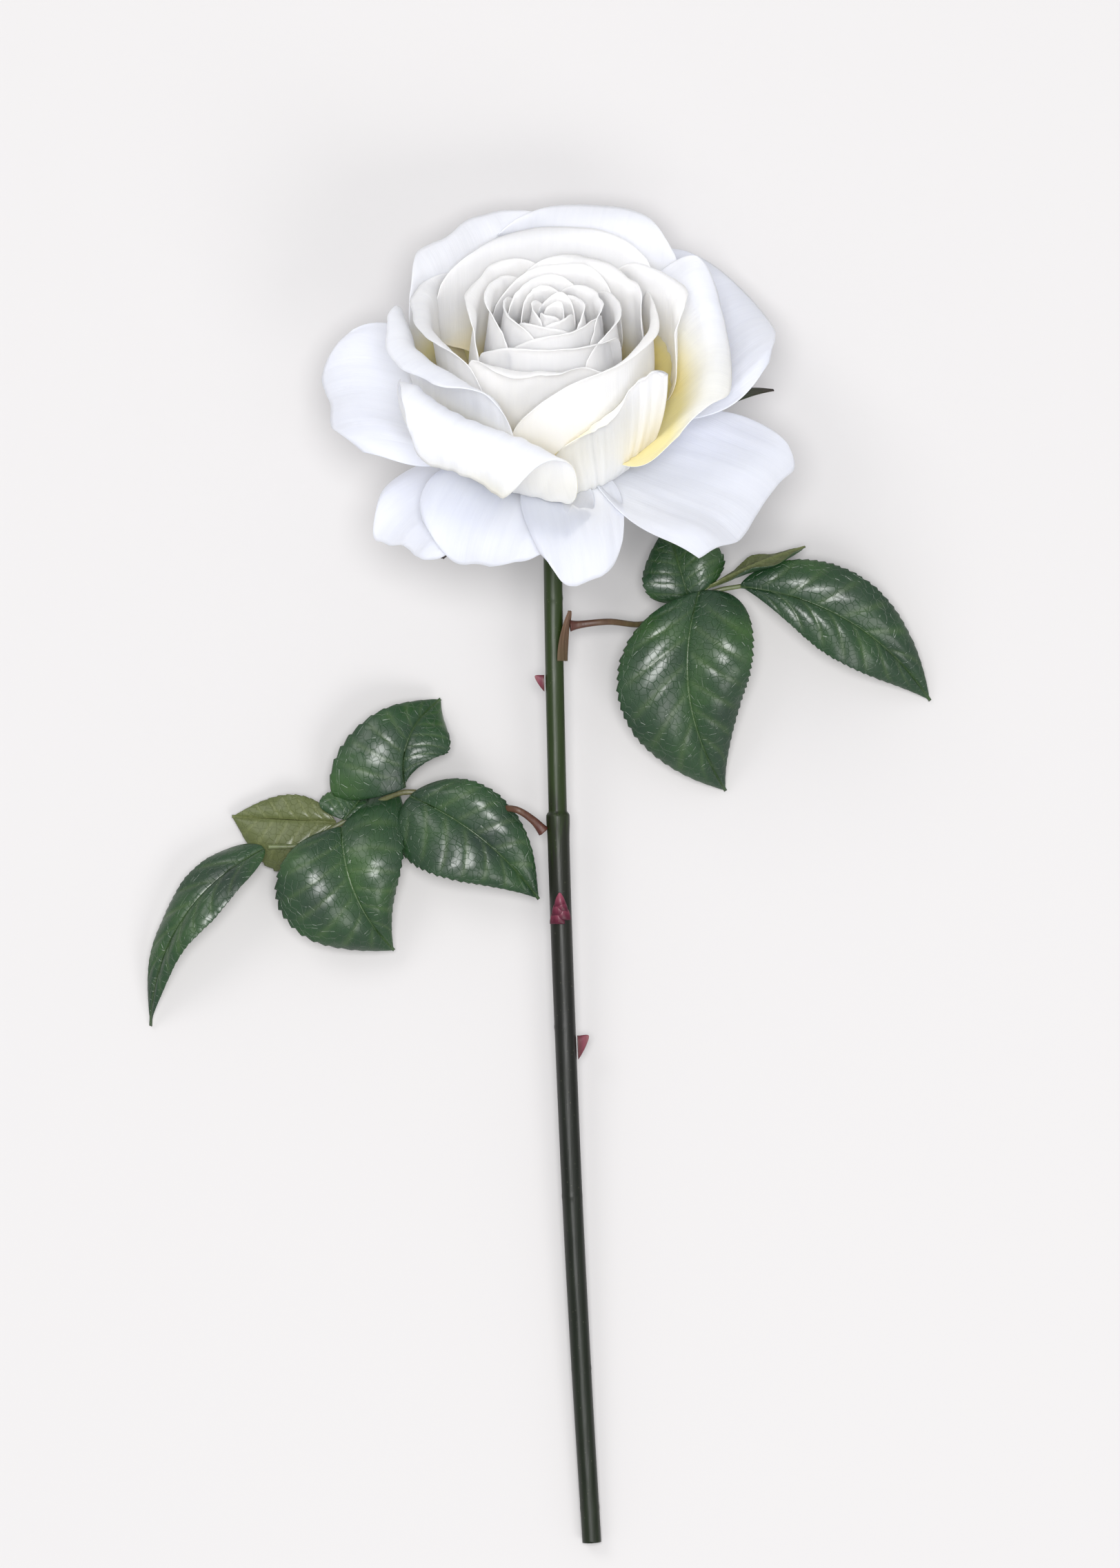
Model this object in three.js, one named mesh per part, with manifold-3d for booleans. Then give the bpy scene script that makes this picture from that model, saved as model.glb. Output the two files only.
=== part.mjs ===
// Cut rose with one open white bloom, laid down on a flat surface.
// Millimetres, +Z up. The stem runs along Y with the bloom at +Y, and the open face of the bloom leans
// towards +Z. The rose rests on Z = 0, and the origin is under the middle of its bounding box.

import * as THREE from 'three';
import { mergeVertices } from 'three/addons/utils/BufferGeometryUtils.js';
import Module from 'manifold-3d';

const wasm = await Module();
wasm.setup();

// ---------------------------------------------------------------- driving dimensions

const BLOOM_WIDTH = 125; // across the open outer petals
const BLOOM_TILT = 40; // angle of the bloom's axis above the surface, degrees
const PETAL_THICKNESS = 0.7;
const GAP = 0.3; // air between neighbouring pieces
const STEM_DROP = 299; // from the bloom's base to the cut end, along Y
const STEM_SWAY = 10.8; // sideways drift of the cut end
const NECK_RADIUS = 2.55; // stem above the upper leaf node
const STEM_RADIUS = 3.05; // stem below the node
const LEAF_THICKNESS = 0.8;
const LEAFLET_SCALE = 1; // length and width of the leaflets
const STALK_RADIUS = 0.9;

// The petals' reaches and rises below are given for a bloom of this width.
const NOMINAL_BLOOM_WIDTH = 125;
const BLOOM_SCALE = BLOOM_WIDTH / NOMINAL_BLOOM_WIDTH;

const COLOURS = {
  petal: 0xf2f2f4,
  calyx: 0x3f5a30,
  stem: 0x2f4420,
  leaf: 0x2c3d36,
  stalk: 0x5b3a2b,
  thorn: 0x8f2a3c,
};

// ---------------------------------------------------------------- materials and solids

const { degToRad, smoothstep, clamp, lerp } = THREE.MathUtils;

function material(colour, roughness = 0.6) {
  return new THREE.MeshStandardMaterial({ color: colour, roughness, metalness: 0 });
}

/** A geometry with positions only, shared vertices merged and collapsed triangles dropped. */
function welded(geometry) {
  const bare = geometry.clone();
  bare.deleteAttribute('normal');
  bare.deleteAttribute('uv');
  const merged = mergeVertices(bare, 1e-4);
  const index = merged.getIndex().array;
  const kept = [];
  for (let i = 0; i < index.length; i += 3) {
    const [a, b, c] = index.slice(i, i + 3);
    if (a !== b && b !== c && c !== a) kept.push(a, b, c);
  }
  merged.setIndex(kept);
  return merged;
}

function toManifold(geometry) {
  const solid = welded(geometry);
  return new wasm.Manifold(
    new wasm.Mesh({
      numProp: 3,
      vertProperties: Float32Array.from(solid.getAttribute('position').array),
      triVerts: Uint32Array.from(solid.getIndex().array),
    }),
  );
}

function toGeometry(solid) {
  const mesh = solid.getMesh();
  const geometry = new THREE.BufferGeometry();
  geometry.setAttribute('position', new THREE.BufferAttribute(Float32Array.from(mesh.vertProperties), 3));
  geometry.setIndex(Array.from(mesh.triVerts));
  geometry.computeVertexNormals();
  return geometry;
}

function largestBody(solid) {
  const bodies = solid.decompose();
  return bodies.reduce((best, body) => (body.volume() > best.volume() ? body : best));
}

const BACK_FACE = 5; // the -Z side among a box's six groups
const QUAD_ENTRIES = 6; // index entries of one quad, as two triangles

/**
 * Splits each quad on the back of a box along the same diagonal as the quad in front of it, so that a
 * thin sheet keeps its thickness where it twists.
 */
function matchBackToFront(geometry) {
  const index = geometry.getIndex();
  const back = geometry.groups[BACK_FACE];
  for (let i = back.start; i < back.start + back.count; i += QUAD_ENTRIES) {
    index.setX(i + 2, index.getX(i + 4));
    index.setX(i + 3, index.getX(i));
  }
}

/**
 * A thin closed sheet on surface(u, v), with u from -1 to 1 across and v from 0 to 1 along.
 * Its edges are pushed out by `margin`, which makes the keep-out copy of a piece.
 */
function sheet(surface, columns, rows, thickness, margin = 0) {
  const geometry = new THREE.BoxGeometry(2, 1, 1, columns, rows, 1);
  matchBackToFront(geometry);
  const position = geometry.getAttribute('position');
  const step = 0.004;
  for (let i = 0; i < position.count; i += 1) {
    const u = position.getX(i);
    const v = position.getY(i) + 0.5;
    const side = position.getZ(i) * 2;
    const point = surface(u, v);
    const across = surface(u + step, v).sub(surface(u - step, v)).normalize();
    const along = surface(u, v + step).sub(surface(u, v - step)).normalize();
    const normal = across.clone().cross(along).normalize();
    point.addScaledVector(normal, side * (thickness / 2 + margin));
    if (Math.abs(u) > 0.999) point.addScaledVector(across, Math.sign(u) * margin);
    if (v < 0.001) point.addScaledVector(along, -margin);
    if (v > 0.999) point.addScaledVector(along, margin);
    position.setXYZ(i, point.x, point.y, point.z);
  }
  return geometry;
}

/** A lathe turned about its own axis, then bent so that the axis follows the curve. */
function turnedAlong(curve, profile, sides) {
  const geometry = new THREE.LatheGeometry(profile, sides);
  const length = profile[profile.length - 1].y;
  const position = geometry.getAttribute('position');
  for (let i = 0; i < position.count; i += 1) {
    const t = clamp(position.getY(i) / length, 0, 1);
    const centre = curve.getPointAt(t);
    const tangent = curve.getTangentAt(t);
    const right = new THREE.Vector3(0, 0, 1).cross(tangent).normalize();
    const up = tangent.clone().cross(right);
    centre.addScaledVector(right, position.getX(i)).addScaledVector(up, -position.getZ(i));
    position.setXYZ(i, centre.x, centre.y, centre.z);
  }
  return geometry;
}

// ---------------------------------------------------------------- petals

const POINT_WIDTH = 0.17; // share of a half-width that a point in the lip takes up
const TIGHTEST_BEND = 2.5; // radius across a petal near its foot
const NARROW_PETAL = 12; // half-width up to which fewer rows follow the bend

/*
 * A petal is a strip swept up one profile. The profile leaves the receptacle at (base, foot) with slope
 * `leave`, reaches its crest at (reach, rise) with slope `arrive`, then rolls over by `sweep` degrees
 * along `roll` millimetres. `bearing` turns it about the bloom's axis: 0 is right, -90 is the side that
 * faces up when the rose lies down, and 90 is the side that rests on the surface.
 */
const PETAL = {
  bearing: 0, base: 5, foot: 0, leave: 35, leaveHold: 0.5, reach: 40, rise: 38, arrive: 80,
  arriveHold: 0.4, roll: 8, sweep: 90, halfWidth: 24, claw: 2.2, wrap: 40, iris: 0, corner: 0.16,
  cornerPower: 3, slant: 0, ruffle: 0.8, waves: 5, curl: 20, lean: 0, fullAt: 0.8, taper: 0.1, fall: 0,
  widen: 1.15, point: 0, pointAt: 0,
};

const GUARD = {
  ...PETAL, base: 6.6, foot: -1, leave: 8, leaveHold: 0.45, arrive: 5, arriveHold: 0.35, roll: 13,
  sweep: 50, wrap: 60, cornerPower: 3.2, ruffle: 1.2, waves: 6, curl: 24, fullAt: 0.74, taper: 0.16,
};
const CUP = {
  ...PETAL, base: 5.4, foot: 0.2, leave: 4, leaveHold: 0.72, arrive: 86, arriveHold: 0.5, roll: 10,
  sweep: 105, wrap: 44, iris: 8, corner: 0.15, cornerPower: 3.4, ruffle: 0.9, widen: 1.5,
};
const INNER = {
  ...PETAL, base: 4.4, foot: 1.6, leave: 14, leaveHold: 0.62, arrive: 92, arriveHold: 0.45, roll: 6.5,
  sweep: 100, claw: 1.6, wrap: 36, iris: 6, corner: 0.14, cornerPower: 3.2, ruffle: 0.6, curl: 10,
  widen: 1.7,
};
const HEART = {
  ...PETAL, base: 3.5, foot: 2.2, leave: 28, arrive: 97, arriveHold: 0.5, roll: 4, sweep: 70, claw: 1.1,
  wrap: 22, iris: 7, corner: 0.13, cornerPower: 2.8, ruffle: 0.3, curl: 6, widen: 2,
};
const BUD = {
  ...PETAL, base: 2.6, foot: 2.6, leave: 54, leaveHold: 0.45, arrive: 99, arriveHold: 0.45, roll: 2.2,
  sweep: 45, claw: 0.8, wrap: 12, iris: 6, corner: 0.13, cornerPower: 2.4, ruffle: 0.2, curl: 4,
  taper: 0.12, widen: 2,
};
const TIP = { ...BUD, base: 1.7, foot: 3, leave: 72, claw: 0.7 };

const PETALS = {
  guard_lower_left: {
    ...GUARD, bearing: 225, reach: 46.5, rise: -0.5, halfWidth: 17, arrive: -2, foot: -3.4, leave: 2,
    point: 0.06, pointAt: -0.6,
  },
  guard_bottom: {
    ...GUARD, bearing: 278, reach: 52.5, rise: 6.5, halfWidth: 13.5, arrive: -4, foot: 0.4, leave: 7,
    corner: 0.17, curl: 26, slant: -0.03, fullAt: 0.62,
  },
  guard_back_right: { ...GUARD, bearing: 70, reach: 43, rise: 10, halfWidth: 26, arrive: 12, foot: -3 },
  guard_back_left: { ...GUARD, bearing: 108, reach: 42, rise: 12, halfWidth: 23, arrive: 14, foot: -2 },
  guard_left: {
    ...GUARD, bearing: 185, reach: 46.5, rise: 17, halfWidth: 24, arrive: 20, sweep: 60, roll: 15,
    fall: -0.22, waves: 4,
  },
  guard_bottom_left: {
    ...GUARD, bearing: 252, reach: 45, rise: 4.5, halfWidth: 23, arrive: -4, sweep: 60, foot: -0.9,
    leave: 6, slant: -0.04,
  },
  guard_right_low: {
    ...GUARD, bearing: -33, reach: 53, rise: 3.5, halfWidth: 28, arrive: 3, corner: 0.1, taper: 0.08,
    point: 0.05, pointAt: 0.85, slant: -0.05,
  },
  guard_right: {
    ...GUARD, bearing: 27, reach: 49, rise: 22, halfWidth: 34, arrive: 32, sweep: 60, foot: -0.5,
    leave: 14,
  },
  cup_lower_left: {
    ...CUP, bearing: 243, reach: 40, rise: 28, halfWidth: 27, arrive: 80, roll: 28, sweep: 180,
    fall: -0.22, iris: 0, corner: 0.24, wrap: 120, curl: 10,
  },
  cup_lower_right: {
    ...CUP, bearing: -63, reach: 31, rise: 27, halfWidth: 19, roll: 6, sweep: 120, iris: 0, curl: 30,
    leave: -5, leaveHold: 0.85, arrive: 96, fall: 0.61, fullAt: 0.98, widen: 2,
  },
  cup_left: {
    ...CUP, bearing: 211, reach: 36, rise: 35.5, halfWidth: 29, roll: 15, sweep: 120, iris: 3,
    fall: 0.02,
  },
  cup_right: {
    ...CUP, bearing: -4, reach: 40, rise: 29, halfWidth: 30, leave: 20, slant: 0.05, arrive: 50,
    fall: 0.24, roll: 9, leaveHold: 0.5, widen: 1.0, fullAt: 0.7,
  },
  cup_back_right: { ...CUP, bearing: 76, reach: 39.5, rise: 37, halfWidth: 28, sweep: 70, arrive: 74 },
  cup_back_left: { ...CUP, bearing: 123, reach: 38, rise: 37, halfWidth: 30, sweep: 80, arrive: 74 },
  inner_right_outer: { ...INNER, bearing: 22, reach: 32, rise: 38, halfWidth: 21, wrap: 30 },
  inner_front_low: {
    ...INNER, bearing: -40, reach: 27.5, rise: 40.5, halfWidth: 39, wrap: 32, roll: 6, iris: 8, leave: 8,
    leaveHold: 0.68, corner: 0.18, cornerPower: 2, slant: 0.04,
  },
  inner_back: { ...INNER, bearing: 96, reach: 31, rise: 40, halfWidth: 34, iris: 5, arrive: 80 },
  inner_left: { ...INNER, bearing: 185, reach: 32, rise: 39, halfWidth: 30, arrive: 82 },
  inner_front: {
    ...INNER, bearing: -95, reach: 22.5, rise: 37.4, halfWidth: 23, wrap: 34, roll: 5, iris: 5,
    slant: -0.05, corner: 0.1,
  },
  inner_back_right: { ...INNER, bearing: 50, reach: 21.5, rise: 40.5, halfWidth: 25, wrap: 24, roll: 5 },
  inner_back_left: { ...INNER, bearing: 150, reach: 21.5, rise: 40.5, halfWidth: 25, wrap: 24, roll: 5 },
  heart_front: {
    ...HEART, bearing: -96, reach: 16, rise: 39.2, halfWidth: 22, wrap: 23, iris: 5, slant: 0.07,
    corner: 0.09,
  },
  heart_right: { ...HEART, bearing: -10, reach: 17, rise: 41.5, halfWidth: 19, wrap: 19 },
  heart_back: { ...HEART, bearing: 78, reach: 16, rise: 42, halfWidth: 22, wrap: 18 },
  heart_left: { ...HEART, bearing: 168, reach: 16.6, rise: 41.6, halfWidth: 20, wrap: 19 },
  core_front: {
    ...HEART, bearing: -75, reach: 11.6, rise: 41.6, halfWidth: 16.5, wrap: 14, roll: 3, slant: 0.04,
    corner: 0.09,
  },
  core_left: { ...HEART, bearing: 195, reach: 12, rise: 42, halfWidth: 15.5, wrap: 13, roll: 3 },
  core_back: { ...HEART, bearing: 110, reach: 11.2, rise: 42.4, halfWidth: 16.5, wrap: 12.4, roll: 3 },
  core_right: { ...HEART, bearing: 20, reach: 11.8, rise: 42.2, halfWidth: 15, wrap: 12.4, roll: 3 },
  bud_1: { ...BUD, bearing: 250, reach: 8.4, rise: 41.6, halfWidth: 12.4, wrap: 9 },
  bud_2: { ...BUD, bearing: 10, reach: 8, rise: 42.4, halfWidth: 11.6, wrap: 8.4 },
  bud_3: { ...BUD, bearing: 125, reach: 8.2, rise: 42.4, halfWidth: 12.4, wrap: 8.4 },
  bud_4: { ...BUD, bearing: 300, reach: 5.6, rise: 41.6, halfWidth: 9, wrap: 5.8 },
  bud_5: { ...BUD, bearing: 175, reach: 5.2, rise: 42, halfWidth: 9, wrap: 5.6 },
  bud_6: { ...BUD, bearing: 60, reach: 5.4, rise: 42.2, halfWidth: 8.2, wrap: 5.6 },
  bud_7: { ...TIP, bearing: 240, reach: 2.8, rise: 41.2, halfWidth: 6.2, wrap: 2.9 },
  bud_8: { ...TIP, bearing: 60, reach: 2.8, rise: 41.6, halfWidth: 5.4, wrap: 2.9 },
};

/** Radius, height and two slopes along a petal's profile, as a function of the distance from its foot. */
function petalProfile(petal) {
  const leave = degToRad(petal.leave);
  const arrive = degToRad(petal.arrive);
  const foot = new THREE.Vector2(petal.base / BLOOM_SCALE, petal.foot / BLOOM_SCALE);
  const crest = new THREE.Vector2(petal.reach, petal.rise);
  const span = foot.distanceTo(crest);
  const hold = petal.leaveHold * span;
  const ease = petal.arriveHold * span;
  const curve = new THREE.CubicBezierCurve(
    foot,
    new THREE.Vector2(foot.x + hold * Math.cos(leave), foot.y + hold * Math.sin(leave)),
    new THREE.Vector2(crest.x - ease * Math.cos(arrive), crest.y - ease * Math.sin(arrive)),
    crest,
  );
  const rise = curve.getLength();
  const rollSteps = 24;
  const rolled = [{ x: crest.x, y: crest.y, slope: arrive }];
  for (let i = 1; i <= rollSteps; i += 1) {
    const slope = arrive - degToRad(petal.sweep) * (i / rollSteps) ** 1.3;
    const last = rolled[i - 1];
    const step = petal.roll / rollSteps;
    const middle = (last.slope + slope) / 2;
    rolled.push({ x: last.x + Math.cos(middle) * step, y: last.y + Math.sin(middle) * step, slope });
  }
  const total = rise + petal.roll;
  const at = (distance) => {
    if (distance <= rise) {
      const t = clamp(distance / rise, 0, 1);
      const point = curve.getPointAt(t);
      const tangent = curve.getTangentAt(t);
      const slope = Math.atan2(tangent.y, tangent.x);
      return { x: point.x, y: point.y, slope, face: slope };
    }
    const place = clamp((distance - rise) / petal.roll, 0, 1) * rollSteps;
    const before = rolled[Math.floor(place)];
    const after = rolled[Math.min(Math.floor(place) + 1, rollSteps)];
    const part = place - Math.floor(place);
    const slope = lerp(before.slope, after.slope, part);
    const beyond = Math.max(distance - total, 0);
    return {
      x: lerp(before.x, after.x, part) + beyond * Math.cos(slope),
      y: lerp(before.y, after.y, part) + beyond * Math.sin(slope),
      slope,
      face: arrive,
    };
  };
  return { at, total };
}

/** surface(u, v) of one petal in the bloom's own frame, with Z along the bloom's axis. */
function petalSurface(petal) {
  const profile = petalProfile(petal);
  const iris = degToRad(petal.iris);
  const curl = degToRad(petal.curl);
  return (u, v) => {
    const point = petal.point * Math.exp(-(((u - petal.pointAt) / POINT_WIDTH) ** 2));
    const outline = 1 - petal.corner * Math.abs(u) ** petal.cornerPower + petal.slant * u + point;
    const distance = v * outline * profile.total;
    const place = profile.at(distance);
    const toFull = Math.sin((clamp(v / petal.fullAt, 0, 1) * Math.PI) / 2) ** petal.widen;
    const past = clamp((v - petal.fullAt) / (1 - petal.fullAt), 0, 1);
    const half = lerp(petal.claw / BLOOM_SCALE, petal.halfWidth, toFull) * (1 - petal.taper * past ** 2.2);
    const radius = lerp(Math.max(place.x, TIGHTEST_BEND), petal.wrap, smoothstep(v, 0.1, 0.8));
    const steps = 24;
    let sideways = 0;
    let inward = 0;
    for (let i = 0; i < steps; i += 1) {
      const q = (u * (i + 0.5)) / steps;
      const bend = (q * half) / radius;
      const backCurl = curl * smoothstep(Math.abs(q), 0.45, 1) * Math.sign(q) * smoothstep(v, 0.25, 0.9);
      sideways += (Math.cos(bend - backCurl) * u * half) / steps;
      inward += (Math.sin(bend - backCurl) * u * half) / steps;
    }
    const ripple = petal.ruffle * smoothstep(v, 0.45, 1) * Math.sin(petal.waves * u);
    inward += sideways * Math.sin(iris) + ripple * (0.35 + 0.65 * Math.abs(u));
    const radial = place.x - inward * Math.sin(place.face);
    const height = place.y + inward * Math.cos(place.face) + petal.fall * sideways * v;
    const bearing = degToRad(petal.bearing + petal.lean * v * v);
    return new THREE.Vector3(
      radial * Math.cos(bearing) - sideways * Math.sin(bearing),
      radial * Math.sin(bearing) + sideways * Math.cos(bearing),
      height,
    ).multiplyScalar(BLOOM_SCALE);
  };
}

// ---------------------------------------------------------------- calyx

/** The green cup that carries the petals: a turned form about the bloom's axis. */
function receptacleGeometry() {
  const outline = [
    [0, -14], [3.4, -14], [3.9, -12.6], [5.8, -10.4], [6.7, -7.6], [6.6, -5.4], [6.1, -4.1], [6.0, -1.4],
    [5.0, -0.5], [4.1, 0.5], [3.2, 1.2], [2.2, 1.7], [1.2, 2.1], [0, 2.2],
  ];
  const points = outline.map(([x, y]) => new THREE.Vector2(x, y));
  const geometry = new THREE.LatheGeometry(points, 20);
  return geometry.rotateX(Math.PI / 2);
}

const SEPAL = {
  ...PETAL, base: 7.1, foot: -5.2, leave: -12, leaveHold: 0.4, arrive: -6, roll: 10, sweep: 20,
  halfWidth: 4.6, claw: 3.2, wrap: 30, corner: 0, cornerPower: 2, ruffle: 0, curl: 0, fullAt: 0.34,
  taper: 0.93,
};

const SEPALS = [
  { ...SEPAL, bearing: 16, reach: 52, rise: 3, arrive: 6 },
  { ...SEPAL, bearing: 88, reach: 24, rise: -8 },
  { ...SEPAL, bearing: 160, reach: 34, rise: -7 },
  { ...SEPAL, bearing: 233, reach: 39, rise: -8 },
  { ...SEPAL, bearing: 304, reach: 23, rise: -9 },
];

// ---------------------------------------------------------------- assembly helper

/** A group whose pieces are each cut back where an earlier piece of the group already lies. */
class Cluster extends THREE.Group {
  placed = [];

  addPiece(name, geometry, keepOut, colour, roughness) {
    let solid = toManifold(geometry);
    const box = new THREE.Box3().setFromBufferAttribute(geometry.getAttribute('position'));
    for (const other of this.placed) {
      if (box.intersectsBox(other.box) && !solid.intersect(other.solid).isEmpty()) {
        solid = largestBody(solid.subtract(other.keepOut));
      }
    }
    this.placed.push({ box: box.expandByScalar(GAP), solid, keepOut: toManifold(keepOut) });
    const mesh = new THREE.Mesh(toGeometry(solid), material(colour, roughness));
    mesh.name = name;
    this.add(mesh);
  }

  addSheet(name, surface, columns, rows, thickness, colour, roughness) {
    const solid = sheet(surface, columns, rows, thickness);
    const keepOut = sheet(surface, columns, rows, thickness, GAP);
    this.addPiece(name, solid, keepOut, colour, roughness);
  }
}

// ---------------------------------------------------------------- bloom

function buildBloom() {
  const bloom = new Cluster();
  const receptacle = receptacleGeometry();
  bloom.addPiece('receptacle', receptacle, receptacle, COLOURS.calyx, 0.6);
  for (const [name, petal] of Object.entries(PETALS)) {
    const columns = 2 * Math.round(clamp(petal.halfWidth / 8, 2, 4));
    const rows = petal.halfWidth > NARROW_PETAL ? 8 : 5;
    bloom.addSheet(name, petalSurface(petal), columns, rows, PETAL_THICKNESS, COLOURS.petal, 0.65);
  }
  SEPALS.forEach((sepal, i) => {
    bloom.addSheet(`sepal_${i + 1}`, petalSurface(sepal), 2, 8, PETAL_THICKNESS, COLOURS.calyx, 0.6);
  });
  bloom.rotation.x = degToRad(BLOOM_TILT - 90);
  return bloom;
}

const bloom = buildBloom();
bloom.position.z = -new THREE.Box3().setFromObject(bloom, true).min.z;

// ---------------------------------------------------------------- stem

const NECK_START = 14.3; // from the bloom's base to the top of the stem, along the bloom's axis
const NODE_AT = 101; // leaf node, along -Y from the bloom's base
const CUT_RADIUS = 2.63;

const bloomAxis = new THREE.Vector3(0, Math.cos(degToRad(BLOOM_TILT)), Math.sin(degToRad(BLOOM_TILT)));
const bloomBase = new THREE.Vector3(0, 0, bloom.position.z);

/** Centre line from the calyx to the cut end: out along the bloom's axis, then nearly level. */
function stemCurve() {
  const start = bloomBase.clone().addScaledVector(bloomAxis, -NECK_START);
  const neck = bloomBase.clone().addScaledVector(bloomAxis, -NECK_START - 5);
  const points = [start, neck];
  const levelFrom = 30;
  const levelHeight = neck.z - 4;
  const pieces = 7;
  for (let i = 0; i <= pieces; i += 1) {
    const y = lerp(levelFrom, STEM_DROP, i / pieces);
    const along = y / STEM_DROP;
    const fallen = ((y - levelFrom) / (STEM_DROP - levelFrom)) ** 0.92;
    const height = lerp(levelHeight, CUT_RADIUS + 0.05, fallen);
    points.push(new THREE.Vector3(STEM_SWAY * along ** 1.8, -y, height));
  }
  return new THREE.CatmullRomCurve3(points, false, 'centripetal');
}

const stemLine = stemCurve();
const stemLength = stemLine.getLength();

/** Share of the stem's length at a distance along -Y from the bloom's base. */
function stemShareAt(drop) {
  let low = 0;
  let high = 1;
  for (let i = 0; i < 24; i += 1) {
    const middle = (low + high) / 2;
    if (-stemLine.getPointAt(middle).y < drop) low = middle;
    else high = middle;
  }
  return (low + high) / 2;
}

function stemRadiusAt(share) {
  const node = stemShareAt(NODE_AT);
  const lower = lerp(STEM_RADIUS, CUT_RADIUS, (share - node) / (1 - node));
  const sleeve = 0.22 * Math.exp(-(((share - node - 0.006) / 0.012) ** 2));
  const calyxFlare = 0.6 * Math.exp(-share / 0.012);
  return share < node ? NECK_RADIUS + calyxFlare : lower + sleeve;
}

function stemGeometry() {
  const node = stemShareAt(NODE_AT);
  const step = 0.0015;
  const shares = [0, 0.012, 0.03, 0.06, 0.1, 0.15, 0.2, node * 0.8, node - step, node + step, node + 0.02];
  for (let i = 1; i <= 10; i += 1) shares.push(lerp(node + 0.02, 1, i / 10));
  const points = [new THREE.Vector2(0, 0)];
  for (const share of shares) points.push(new THREE.Vector2(stemRadiusAt(share), share * stemLength));
  points.push(new THREE.Vector2(0, stemLength));
  return turnedAlong(stemLine, points, 16);
}

/** surface(u, v) that hugs the stem between two places along it, `lift` clear of its bark. */
function onStem({ from, to, facing, spread, lift, taper = 1, tip = 0 }) {
  return (u, v) => {
    const share = lerp(stemShareAt(from), stemShareAt(to), v);
    const centre = stemLine.getPointAt(clamp(share, 0, 1));
    const width = spread * (1 - taper * v ** 2);
    const angle = degToRad(facing + u * width);
    const reach = stemRadiusAt(share) + lift + tip * v ** 2;
    return centre.add(new THREE.Vector3(Math.cos(angle) * reach, 0, Math.sin(angle) * reach));
  };
}

// ---------------------------------------------------------------- leaves

/*
 * A leaflet runs from `base` to `tip`. Its midrib bows sideways by `bow` and arches up by `arch`, and
 * `turn` rolls it about the midrib. `left` and `right` are its widest half-widths, found at the shares
 * `bellyLeft` and `bellyRight` of its length. `lobeLeft` and `lobeRight` push its shoulders back past the
 * base. Places are from the bloom's base along X and Y, with Z from the surface below.
 */
const LEAFLET = {
  bow: 0, arch: 3, left: 14, right: 14, turn: 0, bellyLeft: 0.4, bellyRight: 0.4, lobeLeft: 0,
  lobeRight: 0,
};

const LEAFLETS = {
  leaflet_left_1: {
    ...LEAFLET, base: [-38.5, -96.5, 11], tip: [-3.6, -124.4, 10], bow: -3.2, arch: 6, left: 12.5,
    right: 16.5, turn: 4, bellyLeft: 0.4, bellyRight: 0.3, lobeRight: 0.12,
  },
  leaflet_left_2: {
    ...LEAFLET, base: [-39.9, -94.2, 11], tip: [-30.2, -70.1, 4], bow: -4, arch: 5, left: 20,
    right: 11.5, bellyLeft: 0.12, bellyRight: 0.58, lobeLeft: 0.1,
  },
  leaflet_left_3: {
    ...LEAFLET, base: [-57, -104.9, 11], tip: [-42.8, -138.3, 5], bow: 3.6, arch: 7, left: 18, right: 21,
    bellyLeft: 0.22, bellyRight: 0.4, lobeLeft: 0.6, lobeRight: 0.05,
  },
  leaflet_left_4: {
    ...LEAFLET, base: [-58.6, -103.6, 7.5], tip: [-86.9, -102, 2.5], arch: 0.5, left: 14.5, right: 7,
    bellyLeft: 0.5, bellyRight: 0.42,
  },
  leaflet_left_5: {
    ...LEAFLET, base: [-78, -110.6, 10], tip: [-109.1, -158.9, 0.9], bow: 8.2, arch: 7, left: 8,
    right: 8, turn: -36, bellyLeft: 0.34, bellyRight: 0.3,
  },
  leaflet_left_6: {
    ...LEAFLET, base: [-56.4, -102.8, 9.5], tip: [-49.6, -94.4, 6], arch: 1, left: 8.5, right: 2.5,
    bellyLeft: 0.2, lobeLeft: 0.25,
  },
  leaflet_right_1: {
    ...LEAFLET, base: [37, -43.6, 13.5], tip: [31, -23, 8], left: 11, right: 12.5, bellyLeft: 0.34,
    bellyRight: 0.4, lobeLeft: 0.05,
  },
  leaflet_right_2: {
    ...LEAFLET, base: [40.6, -41.4, 14], tip: [68.4, -29.2, 9], bow: -1, arch: 2, left: 6, right: 6,
    turn: -108, bellyLeft: 0.6, bellyRight: 0.6,
  },
  leaflet_right_3: {
    ...LEAFLET, base: [50.6, -39.8, 13], tip: [102.6, -70.6, 0.9], bow: -7, arch: 8, left: 12.5,
    right: 11, turn: 6, bellyLeft: 0.4, bellyRight: 0.52,
  },
  leaflet_right_4: {
    ...LEAFLET, base: [39.7, -41.2, 15], tip: [47.1, -95.1, 0.9], bow: 6.5, arch: 9, left: 18,
    right: 19.5, bellyLeft: 0.33, bellyRight: 0.45, lobeLeft: 0.2,
  },
};
const TIP_TAPER = 1.15; // near 1 gives a straight-sided point
const NARROWEST_HALF = 0.45; // half-width of a blade at its base and tip
const PILLOW_RISE = 0.42; // how steeply each half rises from the midrib
const PILLOW_FALL = 0.47; // how strongly it turns down again towards the margin

/** Half-width along a leaflet, 1 at its belly and 0 at both ends. */
function bladeWidth(v, belly) {
  const rise = (TIP_TAPER * belly) / (1 - belly);
  return (v ** rise * (1 - v) ** TIP_TAPER) / (belly ** rise * (1 - belly) ** TIP_TAPER);
}

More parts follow.
